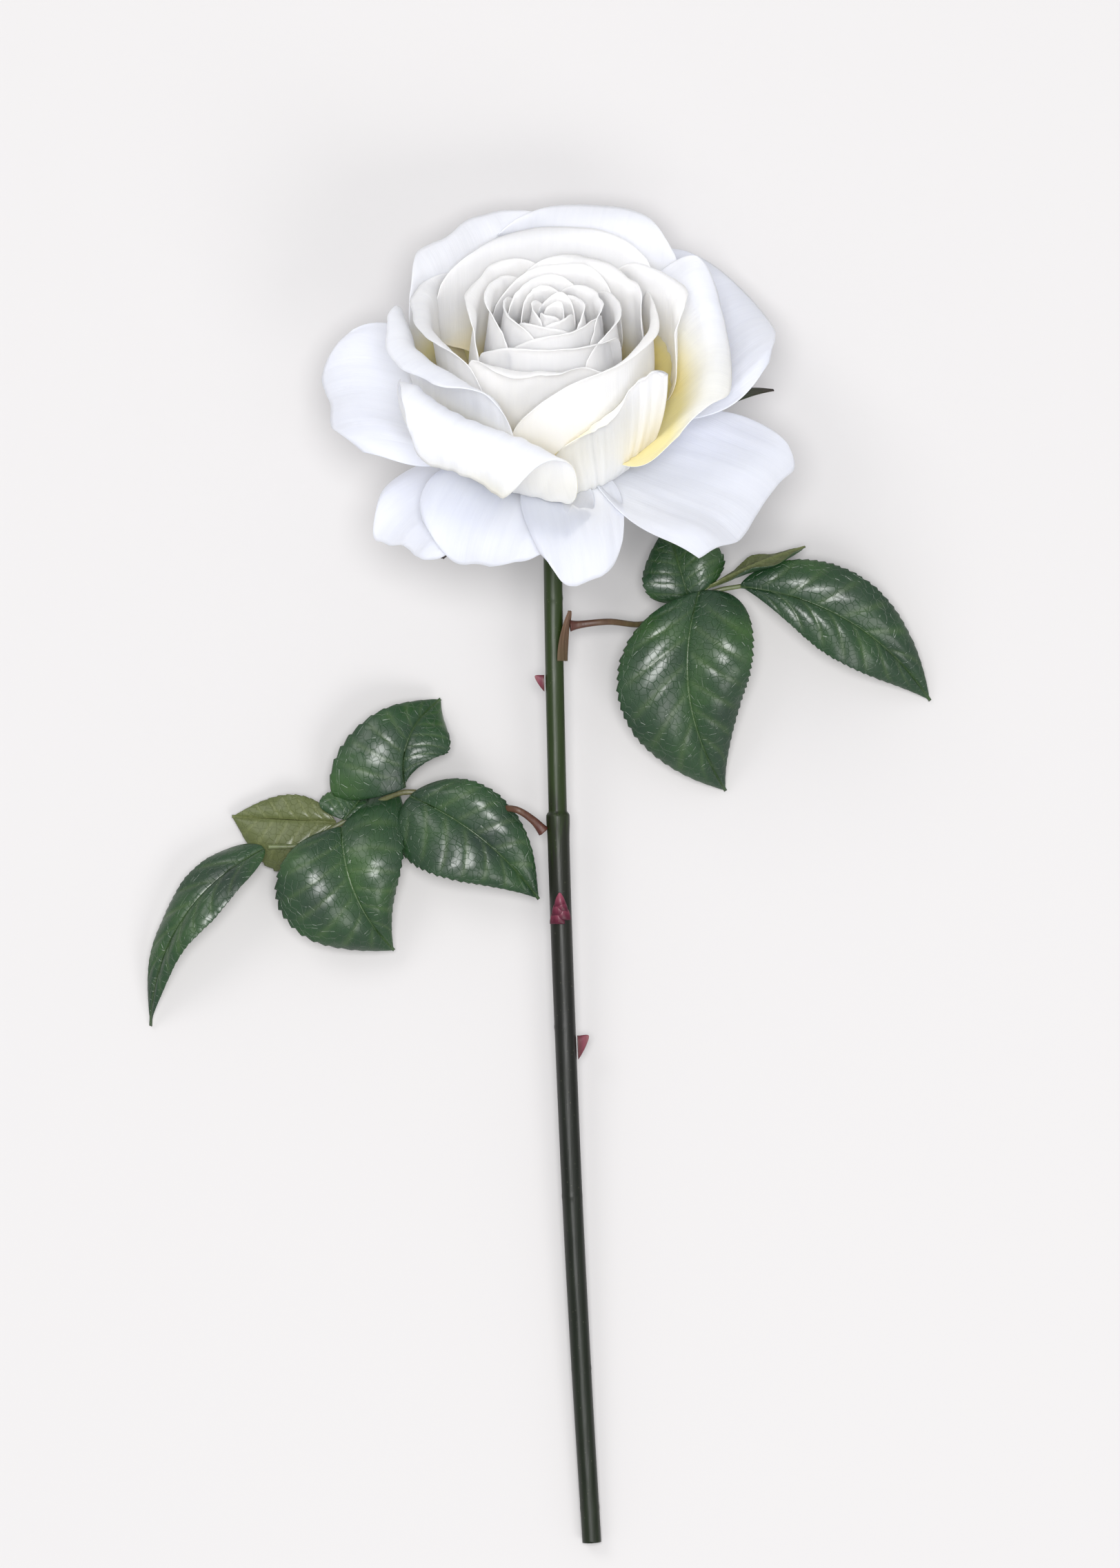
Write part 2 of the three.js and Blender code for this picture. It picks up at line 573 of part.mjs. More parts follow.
function leafletSurface(leaflet) {
  const start = new THREE.Vector3(...leaflet.base);
  const end = new THREE.Vector3(...leaflet.tip);
  const run = end.clone().sub(start);
  const level = new THREE.Vector3(run.y, -run.x, 0).normalize();
  const middle = start.clone().lerp(end, 0.5).addScaledVector(level, 2 * leaflet.bow);
  middle.z += 2 * leaflet.arch;
  const midrib = new THREE.QuadraticBezierCurve3(start, middle, end);
  return (u, v) => {
    const t = clamp(v, 0, 1);
    const across = Math.abs(u);
    const point = midrib.getPoint(t);
    const tangent = midrib.getTangent(t);
    const side = tangent.clone().cross(new THREE.Vector3(0, 0, 1)).normalize();
    side.applyAxisAngle(tangent, degToRad(-leaflet.turn));
    const lift = side.clone().cross(tangent);
    const onLeft = u < 0;
    const blade = bladeWidth(t, onLeft ? leaflet.bellyLeft : leaflet.bellyRight) * LEAFLET_SCALE;
    const half = Math.max((onLeft ? leaflet.left : leaflet.right) * blade, NARROWEST_HALF);
    const lobe = (onLeft ? leaflet.lobeLeft : leaflet.lobeRight) * across * blade * (1 - t) ** 4;
    point.addScaledVector(side, u * half);
    point.addScaledVector(lift, half * (PILLOW_RISE * across - PILLOW_FALL * across ** 2));
    return point.addScaledVector(tangent, (v - t - lobe) * run.length());
  };
}

/** A leaf stalk through the given places: swollen where it leaves the stem, thin at its end. */
function stalkGeometry(places) {
  const line = new THREE.CatmullRomCurve3(places, false, 'centripetal');
  const length = line.getLength();
  const points = [new THREE.Vector2(0, 0)];
  const steps = 12;
  for (let i = 0; i <= steps; i += 1) {
    const share = i / steps;
    const swollen = 0.75 * Math.exp(-share / 0.035);
    points.push(new THREE.Vector2(STALK_RADIUS * lerp(1.05, 0.7, share) + swollen, share * length));
  }
  points.push(new THREE.Vector2(0, length));
  return turnedAlong(line, points, 8);
}

function besideStem(drop, facing, clearance) {
  const share = stemShareAt(drop);
  const reach = stemRadiusAt(share) + clearance;
  const angle = degToRad(facing);
  const out = new THREE.Vector3(Math.cos(angle), 0, Math.sin(angle));
  return stemLine.getPointAt(share).addScaledVector(out, reach);
}

const leafStalkLeft = () => [
  besideStem(106, 172, 0.9),
  besideStem(103, 168, 3.6),
  new THREE.Vector3(-9.5, -100.2, 17.5),
  new THREE.Vector3(-17, -99.6, 11.5),
  new THREE.Vector3(-28, -97.6, 9.5),
  new THREE.Vector3(-39.6, -95.4, 10),
  new THREE.Vector3(-49, -99, 8),
  new THREE.Vector3(-57.6, -104.1, 8),
  new THREE.Vector3(-67.5, -109.6, 8.5),
  new THREE.Vector3(-77, -110.2, 9.4),
];
const leafStalkRight = () => [
  besideStem(50.5, 12, 1.9),
  new THREE.Vector3(15, -49.4, 17.5),
  new THREE.Vector3(24, -50, 12),
  new THREE.Vector3(33, -47.6, 11),
  new THREE.Vector3(39.4, -43, 12.4),
  new THREE.Vector3(45, -40.8, 13),
  new THREE.Vector3(51, -39.7, 12.8),
];

// ---------------------------------------------------------------- thorns

/** A hooked thorn that stands on the side of the stem; its tip leans along the stem by `hook`. */
function thornGeometry({ at, facing, height, footLength, footWidth, hook }) {
  const geometry = new THREE.ConeGeometry(1, 1, 8, 3);
  const position = geometry.getAttribute('position');
  const share = stemShareAt(at);
  const angle = degToRad(facing);
  const out = new THREE.Vector3(Math.cos(angle), 0, Math.sin(angle));
  const along = stemLine.getTangentAt(share).negate();
  const across = along.clone().cross(out).normalize();
  const foot = stemLine.getPointAt(share).addScaledVector(out, stemRadiusAt(share) + GAP);
  for (let i = 0; i < position.count; i += 1) {
    const rise = clamp(position.getY(i) + 0.5, 0, 1);
    const narrowing = (1 - rise) ** 0.5;
    const point = foot.clone().addScaledVector(out, rise * height);
    point.addScaledVector(along, (position.getX(i) * footLength * narrowing) / 2 + hook * rise);
    point.addScaledVector(across, (position.getZ(i) * footWidth * narrowing) / 2);
    position.setXYZ(i, point.x, point.y, point.z);
  }
  return geometry;
}

const THORNS = {
  thorn_upper: { at: 66, facing: 178, height: 2.6, footLength: 4.6, footWidth: 1.8, hook: 1.8 },
  thorn_lower: { at: 164.5, facing: -2, height: 3.2, footLength: 6.6, footWidth: 2.2, hook: 3 },
};

// ---------------------------------------------------------------- greenery

function buildGreenery() {
  const greenery = new Cluster();
  const solid = (name, geometry, colour, roughness) => {
    greenery.addPiece(name, geometry, geometry, colour, roughness);
  };
  solid('stem', stemGeometry(), COLOURS.stem, 0.45);
  for (const [name, thorn] of Object.entries(THORNS)) solid(name, thornGeometry(thorn), COLOURS.thorn, 0.4);
  const bract = onStem({
    from: 60, to: 46.5, facing: 20, spread: 62, lift: GAP + 0.4, taper: 0.85, tip: 1.2,
  });
  greenery.addSheet('bract', bract, 6, 5, 0.7, COLOURS.stalk, 0.7);
  const bud = onStem({ from: 131, to: 122.5, facing: 92, spread: 42, lift: GAP + 0.7, taper: 0.8 });
  greenery.addSheet('side_bud', bud, 4, 4, 1.2, COLOURS.thorn, 0.5);
  solid('leaf_stalk_left', stalkGeometry(leafStalkLeft()), COLOURS.stalk, 0.5);
  solid('leaf_stalk_right', stalkGeometry(leafStalkRight()), COLOURS.stalk, 0.5);
  for (const [name, leaflet] of Object.entries(LEAFLETS)) {
    greenery.addSheet(name, leafletSurface(leaflet), 6, 8, LEAF_THICKNESS, COLOURS.leaf, 0.35);
  }
  return greenery;
}

// ---------------------------------------------------------------- whole rose

const rose = new THREE.Group();
const placed = new THREE.Group();
placed.add(bloom, buildGreenery());
const box = new THREE.Box3().setFromObject(placed, true);
placed.position.set(-(box.min.x + box.max.x) / 2, -(box.min.y + box.max.y) / 2, -box.min.z);
rose.add(placed);
export default rose;
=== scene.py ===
"""Cut rose lying on a pale surface, seen from above. Lengths are millimetres until a mesh is made."""
import math

import bpy
import numpy as np
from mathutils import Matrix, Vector


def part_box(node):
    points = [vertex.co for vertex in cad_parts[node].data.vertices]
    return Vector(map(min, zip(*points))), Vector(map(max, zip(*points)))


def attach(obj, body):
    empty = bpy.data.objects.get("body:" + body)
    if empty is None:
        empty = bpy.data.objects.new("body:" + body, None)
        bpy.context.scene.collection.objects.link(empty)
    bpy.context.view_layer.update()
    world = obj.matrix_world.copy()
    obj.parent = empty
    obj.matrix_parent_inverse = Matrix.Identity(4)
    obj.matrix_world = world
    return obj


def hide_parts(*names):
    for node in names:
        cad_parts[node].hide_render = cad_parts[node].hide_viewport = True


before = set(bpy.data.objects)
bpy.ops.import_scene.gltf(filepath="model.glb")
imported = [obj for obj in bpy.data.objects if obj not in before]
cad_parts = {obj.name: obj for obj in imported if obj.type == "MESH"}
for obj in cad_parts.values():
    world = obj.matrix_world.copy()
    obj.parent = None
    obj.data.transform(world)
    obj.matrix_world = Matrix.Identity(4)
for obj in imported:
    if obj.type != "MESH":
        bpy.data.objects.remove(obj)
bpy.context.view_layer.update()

SEED = 11

# ---------------------------------------------------------------- sizes, shared with the CAD model

TILT = math.radians(40)  # the bloom's axis above the surface
STEM_DROP = 299
STEM_SWAY = 10.8
NECK_RADIUS = 2.55
STEM_RADIUS = 3.05
CUT_RADIUS = 2.63
NODE_AT = 101
NECK_START = 14.3
GAP = 0.3
STALK_RADIUS = 0.9
RECEPTACLE = [
    (0, -14), (3.4, -14), (3.9, -12.6), (5.8, -10.4), (6.7, -7.6), (6.6, -5.4), (6.1, -4.1), (6.0, -1.4),
    (5.0, -0.5), (4.1, 0.5), (3.2, 1.2), (2.2, 1.7), (1.2, 2.1), (0, 2.2),
]


def bloom_base():
    """The bloom's base point in the row frame, in millimetres, from the receptacle's box."""
    low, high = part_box("receptacle")
    depth = min(-r * math.sin(TILT) + h * math.cos(TILT) for r, h in RECEPTACLE)
    drop = min(-r * math.cos(TILT) + h * math.sin(TILT) for r, h in RECEPTACLE)
    return np.array([(low.x + high.x) * 500, low.y * 1000 - depth, low.z * 1000 - drop])


BASE = bloom_base()


def lying(points):
    """From the bloom's own frame, Z along its axis, to millimetres from the bloom's base as it lies."""
    x, y, z = points[..., 0], points[..., 1], points[..., 2]
    c, s = math.cos(TILT), math.sin(TILT)
    return np.stack([x, y * s + z * c, -y * c + z * s], -1)


# ---------------------------------------------------------------- numbers

def smooth(a, b, x):
    t = np.clip((x - a) / (b - a), 0, 1)
    return t * t * (3 - 2 * t)


def lerp(a, b, t):
    return a + (b - a) * t


class Ripples:
    """Smooth repeatable noise on two coordinates: a sum of waves with random directions."""

    def __init__(self, seed, count=9):
        rng = np.random.default_rng(seed)
        self.angle = rng.uniform(0, 2 * math.pi, count)
        self.rate = rng.uniform(0.6, 1.7, count)
        self.phase = rng.uniform(0, 2 * math.pi, count)

    def __call__(self, x, y):
        total = 0
        for angle, rate, phase in zip(self.angle, self.rate, self.phase):
            total = total + np.sin(rate * (x * math.cos(angle) + y * math.sin(angle)) + phase)
        return total / math.sqrt(len(self.angle))


# ---------------------------------------------------------------- meshes

def normals(grid):
    n = np.cross(np.gradient(grid, axis=1), np.gradient(grid, axis=0))
    return n / np.maximum(np.linalg.norm(n, axis=-1, keepdims=True), 1e-9)


def sheet_mesh(grid, thickness):
    """Points and quads of a thin closed sheet around a grid of points. Its border is closed by a strip."""
    n = normals(grid)
    half = np.asarray(thickness)[..., None] / 2
    rows, columns = grid.shape[:2]
    points = np.concatenate([(grid + n * half).reshape(-1, 3), (grid - n * half).reshape(-1, 3)])
    i, j = np.meshgrid(np.arange(rows - 1), np.arange(columns - 1), indexing="ij")
    a = (i * columns + j).ravel()
    b, c, d = a + 1, a + columns + 1, a + columns
    under = rows * columns
    quads = [np.stack([a, b, c, d], 1), np.stack([a, d, c, b], 1) + under]
    edge = np.concatenate([
        np.arange(columns - 1), np.arange(rows - 1) * columns + columns - 1,
        np.arange(columns - 1, 0, -1) + (rows - 1) * columns, np.arange(rows - 1, 0, -1) * columns,
    ])
    after = np.roll(edge, -1)
    quads.append(np.stack([edge, edge + under, after + under, after], 1))
    return points, np.concatenate(quads)


def tube_mesh(rings):
    """Points and faces of a closed tube through rings of points, with a centre point in each end."""
    count, sides = rings.shape[:2]
    points = np.concatenate([rings.reshape(-1, 3), rings[:1].mean(1), rings[-1:].mean(1)])
    i, j = np.meshgrid(np.arange(count - 1), np.arange(sides), indexing="ij")
    k = (j + 1) % sides
    here, beyond = i * sides, (i + 1) * sides
    quads = np.stack([here + j, here + k, beyond + k, beyond + j], -1).reshape(-1, 4)
    around = np.arange(sides)
    after = (around + 1) % sides
    first = np.stack([np.full(sides, count * sides), after, around], 1)
    last_ring = (count - 1) * sides
    last = np.stack([np.full(sides, count * sides + 1), last_ring + around, last_ring + after], 1)
    return points, quads.tolist() + first.tolist() + last.tolist()


def add_piece(name, points, faces, material, node, values=None, plane=None):
    """A finished piece of the rose: its mesh, point values for the shader, material, body and slot."""
    mesh = bpy.data.meshes.new(name)
    faces = faces.tolist() if isinstance(faces, np.ndarray) else faces
    mesh.from_pydata(((points + BASE) / 1000).tolist(), [], faces)
    for key, data in (values or {}).items():
        attribute = mesh.attributes.new(key, "FLOAT", "POINT")
        attribute.data.foreach_set("value", np.asarray(data, np.float32).ravel())
    if plane is not None:
        layer = mesh.uv_layers.new(name="Plane")
        corner = np.zeros(len(mesh.loops), np.int32)
        mesh.loops.foreach_get("vertex_index", corner)
        layer.data.foreach_set("uv", np.asarray(plane, np.float32)[corner].ravel())
    mesh.polygons.foreach_set("use_smooth", [True] * len(mesh.polygons))
    mesh.materials.append(material)
    mesh.update()
    piece = bpy.data.objects.new(name, mesh)
    bpy.context.scene.collection.objects.link(piece)
    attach(piece, "root")
    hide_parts(node)
    return piece


# ---------------------------------------------------------------- materials

class Shader:
    """A small helper around one material's node tree."""

    def __init__(self, name):
        self.material = bpy.data.materials.new(name)
        self.material.use_nodes = True
        self.tree = self.material.node_tree
        self.out = self.tree.nodes.get("Principled BSDF")

    def node(self, kind, **settings):
        made = self.tree.nodes.new(kind)
        for key, value in settings.items():
            setattr(made, key, value)
        return made

    def link(self, source, target):
        self.tree.links.new(source, target)

    def value(self, socket, number):
        self.out.inputs[socket].default_value = number

    def attribute(self, name):
        return self.node("ShaderNodeAttribute", attribute_name=name).outputs["Fac"]

    def math(self, operation, a, b=None, c=None):
        made = self.node("ShaderNodeMath", operation=operation)
        for socket, item in zip(made.inputs, (a, b, c)):
            if item is None:
                continue
            if isinstance(item, (int, float)):
                socket.default_value = item
            else:
                self.link(item, socket)
        return made.outputs[0]

    def ramp(self, factor, stops):
        made = self.node("ShaderNodeValToRGB")
        elements = made.color_ramp.elements
        while len(elements) < len(stops):
            elements.new(0.5)
        for element, (place, colour) in zip(elements, stops):
            element.position = place
            element.color = (*colour, 1)
        self.link(factor, made.inputs[0])
        return made.outputs[0]

    def mix(self, factor, a, b, blend="MIX"):
        made = self.node("ShaderNodeMix", data_type="RGBA", blend_type=blend)
        for socket, item in ((made.inputs[0], factor), (made.inputs[6], a), (made.inputs[7], b)):
            if isinstance(item, (int, float)):
                socket.default_value = item
            elif isinstance(item, tuple):
                socket.default_value = (*item, 1)
            else:
                self.link(item, socket)
        return made.outputs[2]

    def coordinates(self, scale=(1, 1, 1), uv=None):
        made = self.node("ShaderNodeMapping")
        made.inputs["Scale"].default_value = scale
        if uv:
            self.link(self.node("ShaderNodeUVMap", uv_map=uv).outputs[0], made.inputs[0])
        else:
            self.link(self.node("ShaderNodeTexCoord").outputs["Object"], made.inputs[0])
        return made.outputs[0]

    def noise(self, place, scale, detail=3, roughness=0.5):
        made = self.node("ShaderNodeTexNoise")
        made.inputs["Scale"].default_value = scale
        made.inputs["Detail"].default_value = detail
        made.inputs["Roughness"].default_value = roughness
        self.link(place, made.inputs["Vector"])
        return made.outputs["Fac"]

    def bump(self, height, strength, distance):
        made = self.node("ShaderNodeBump")
        made.inputs["Strength"].default_value = strength
        made.inputs["Distance"].default_value = distance
        self.link(height, made.inputs["Height"])
        self.link(made.outputs[0], self.out.inputs["Normal"])

    def base(self, colour):
        self.link(colour, self.out.inputs["Base Color"])

    def roughness(self, source, low, high):
        made = self.node("ShaderNodeMapRange")
        made.inputs["To Min"].default_value = low
        made.inputs["To Max"].default_value = high
        self.link(source, made.inputs["Value"])
        self.link(made.outputs[0], self.out.inputs["Roughness"])


def petal_material(name, foot, middle, lip):
    """White petal: cream at the foot and a yellow painted shade deep in the cup, cooler at the lip, with fine
    veins that fan out along it.
    """
    s = Shader(name)
    # This value paints a yellow shade deep in the cup, as well as the petal's own cream foot.
    depth = s.attribute("open")
    blotch = s.noise(s.coordinates((1, 1, 1)), 60, 2)
    streak = s.noise(s.coordinates((46, 2.2, 1), uv="Plane"), 1, 4, 0.6)
    shifted = s.math("MULTIPLY_ADD", s.math("SUBTRACT", blotch, 0.5), 0.18, depth)
    colour = s.ramp(shifted, [(0.1, foot), (0.5, middle), (0.9, lip)])
    vein = s.ramp(streak, [(0.3, (0.93, 0.93, 0.95)), (0.62, (1, 1, 1))])
    colour = s.mix(0.5, colour, vein, "MULTIPLY")
    rim = s.ramp(s.attribute("rim"), [(0.0, (1, 1, 1)), (1.0, (1, 0.99, 0.97))])
    s.base(s.mix(0.6, colour, rim, "MULTIPLY"))
    s.roughness(streak, 0.5, 0.66)
    s.value("Subsurface Weight", 0.6)
    s.value("Subsurface Radius", (1.0, 0.95, 0.82))
    s.value("Subsurface Scale", 0.004)
    s.value("Sheen Weight", 0.12)
    s.value("Sheen Roughness", 0.5)
    s.value("Specular IOR Level", 0.3)
    fine = s.noise(s.coordinates((120, 5, 1), uv="Plane"), 1, 3, 0.6)
    s.bump(s.math("ADD", streak, s.math("MULTIPLY", fine, 0.5)), 0.35, 0.0004)
    return s.material


def leaf_material():
    """Dark glossy leaf: a net of pale veins above, dull olive below."""
    s = Shader("leaf_blade")
    plane = s.coordinates((100, 100, 1), uv="Plane")
    patches = s.noise(s.coordinates(), 55, 3)
    upper = s.ramp(patches, [
        (0.3, (0.007, 0.026, 0.013)), (0.52, (0.012, 0.046, 0.013)), (0.75, (0.032, 0.088, 0.016)),
    ])
    net = s.node("ShaderNodeTexVoronoi", feature="DISTANCE_TO_EDGE")
    net.inputs["Scale"].default_value = 0.62
    s.link(plane, net.inputs["Vector"])
    fine = s.ramp(net.outputs["Distance"], [(0.0, (1, 1, 1)), (0.06, (0, 0, 0))])
    vein = s.attribute("vein")
    upper = s.mix(s.math("MULTIPLY", fine, 0.10), upper, (0.08, 0.15, 0.06))
    upper = s.mix(s.math("MULTIPLY", vein, 0.3), upper, (0.13, 0.2, 0.06))
    lower = s.mix(s.math("MULTIPLY", vein, 0.7), (0.085, 0.105, 0.028), (0.17, 0.19, 0.07))
    under = s.attribute("under")
    s.base(s.mix(under, upper, lower))
    grain = s.noise(s.coordinates(), 420, 3)
    s.roughness(s.math("MAXIMUM", under, s.math("MULTIPLY", grain, 0.7)), 0.26, 0.62)
    s.value("Specular IOR Level", 0.5)
    s.value("Coat Weight", 0.3)
    s.value("Coat Roughness", 0.2)
    height = s.math("SUBTRACT", s.math("MULTIPLY", grain, 0.4), s.math("MULTIPLY", fine, 0.8))
    s.bump(height, 0.5, 0.0003)
    return s.material


def bark_material(name, stops, roughness=(0.3, 0.5), source="drop"):
    """Smooth stem or stalk skin: a colour run along it, faint streaks and small pale dots."""
    s = Shader(name)
    streak = s.noise(s.coordinates((900, 60, 900)), 1, 3)
    run = s.ramp(s.math("MULTIPLY_ADD", s.math("SUBTRACT", streak, 0.5), 0.16, s.attribute(source)), stops)
    shade = s.ramp(streak, [(0.35, (0.72, 0.72, 0.7)), (0.65, (1, 1, 1))])
    dots = s.node("ShaderNodeTexVoronoi")
    dots.inputs["Scale"].default_value = 700
    s.link(s.coordinates(), dots.inputs["Vector"])
    spot = s.ramp(dots.outputs["Distance"], [(0.05, (1, 1, 1)), (0.16, (0, 0, 0))])
    colour = s.mix(0.7, run, shade, "MULTIPLY")
    s.base(s.mix(s.math("MULTIPLY", spot, 0.12), colour, (0.3, 0.3, 0.2)))
    s.roughness(streak, *roughness)
    s.value("Specular IOR Level", 0.35)
    s.bump(streak, 0.4, 0.0002)
    return s.material


# The foot colours are the petal's own cream base and also a yellow painted shade deep in the cup.
PETAL_OUTER = petal_material("petal_outer", (0.74, 0.69, 0.42), (0.80, 0.81, 0.80), (0.76, 0.79, 0.90))
PETAL_CUP = petal_material("petal_cup", (0.82, 0.67, 0.26), (0.93, 0.90, 0.75), (0.86, 0.88, 0.95))
PETAL_HEART = petal_material("petal_heart", (0.98, 0.84, 0.46), (0.985, 0.955, 0.85), (0.97, 0.965, 0.965))
LEAF = leaf_material()
STEM = bark_material("stem_bark", [
    (0.0, (0.020, 0.040, 0.006)), (0.30, (0.017, 0.032, 0.005)), (0.345, (0.010, 0.012, 0.006)),
    (0.5, (0.006, 0.007, 0.005)), (0.9, (0.006, 0.011, 0.004)), (1.0, (0.010, 0.016, 0.006)),
])
STALK = bark_material("leaf_stalk_skin", [
    (0.0, (0.09, 0.03, 0.022)), (0.25, (0.1, 0.06, 0.03)), (0.6, (0.11, 0.12, 0.05)),
    (1.0, (0.12, 0.15, 0.06)),
])
CALYX = bark_material("calyx_skin", [
    (0.0, (0.07, 0.12, 0.03)), (0.6, (0.05, 0.09, 0.03)), (1.0, (0.045, 0.035, 0.03)),
], (0.45, 0.6), "along")
THORN = bark_material("thorn_horn", [
    (0.0, (0.08, 0.025, 0.025)), (0.5, (0.2, 0.045, 0.07)), (1.0, (0.3, 0.13, 0.14)),
], (0.25, 0.4), "along")
BRACT = bark_material("bract_paper", [
    (0.0, (0.1, 0.07, 0.035)), (0.6, (0.13, 0.075, 0.045)), (1.0, (0.2, 0.12, 0.08)),
], (0.6, 0.8), "along")
SIDE_BUD = bark_material("side_bud_scales", [
    (0.0, (0.015, 0.012, 0.014)), (0.5, (0.09, 0.008, 0.025)), (1.0, (0.28, 0.06, 0.1)),
], (0.25, 0.45), "along")

# ---------------------------------------------------------------- petals

EDGE_CROWDING = 0.86  # 0 spaces a petal's columns evenly, 1 crowds them against its two edges
POINT_WIDTH = 0.17  # share of a half-width that a point in the lip takes up
TIGHTEST_BEND = 2.5  # radius across a petal near its foot
EDGE_NIBBLE = 0.04  # how much a frill moves the outline, as a share of the petal's length
BEND_STEPS = 30
ROLL_STEPS = 24

# A petal is a strip swept up one profile, from (base, foot) with slope `leave` to its crest at (reach,
# rise) with slope `arrive`, and then over by `sweep` degrees along `roll`. `bearing` turns it about the
# bloom's axis: 0 is right, -90 faces up as the rose lies, and 90 is the side that rests on the surface.
PETAL = dict(
    bearing=0, base=5, foot=0, leave=35, leave_hold=0.5, reach=40, rise=38, arrive=80, arrive_hold=0.4,
    roll=8, sweep=90, half=24, claw=2.2, wrap=40, iris=0, corner=0.16, corner_power=3, slant=0,
    ruffle=0.8, waves=5, curl=20, lean=0, full_at=0.8, taper=0.1, fall=0, widen=1.15,
    wrinkle=0.12, frill=0.5, point=0, point_at=0,
)
GUARD = {
    **PETAL, **dict(
        base=6.6, foot=-1, leave=8, leave_hold=0.45, arrive=5, arrive_hold=0.35, roll=13, sweep=50,
        wrap=60, curl=24, corner_power=3.2, full_at=0.74, taper=0.16, ruffle=1.2, waves=6),
}
CUP = {
    **PETAL, **dict(
        base=5.4, foot=0.2, leave=4, leave_hold=0.72, arrive=86, arrive_hold=0.5, roll=10, sweep=105,
        wrap=44, curl=20, corner=0.15, corner_power=3.4, ruffle=0.9, iris=8, widen=1.5),
}
INNER = {
    **PETAL, **dict(
        base=4.4, foot=1.6, leave=14, leave_hold=0.62, arrive=92, arrive_hold=0.45, roll=6.5, sweep=100,
        claw=1.6, wrap=36, curl=10, corner=0.14, corner_power=3.2, ruffle=0.6, iris=6, widen=1.7),
}
HEART = {
    **PETAL, **dict(
        base=3.5, foot=2.2, leave=28, arrive=97, arrive_hold=0.5, roll=4, sweep=70, claw=1.1, wrap=22,
        curl=6, corner=0.13, corner_power=2.8, ruffle=0.3, iris=7, widen=2, frill=0.2),
}
BUD = {
    **PETAL, **dict(
        base=2.6, foot=2.6, leave=54, leave_hold=0.45, arrive=99, arrive_hold=0.45, roll=2.2, sweep=45,
        claw=0.8, wrap=12, curl=4, corner=0.13, corner_power=2.4, taper=0.12, ruffle=0.2, iris=6,
        widen=2, frill=0.15),
}
TIP = {**BUD, **dict(base=1.7, foot=3, leave=72, claw=0.7)}

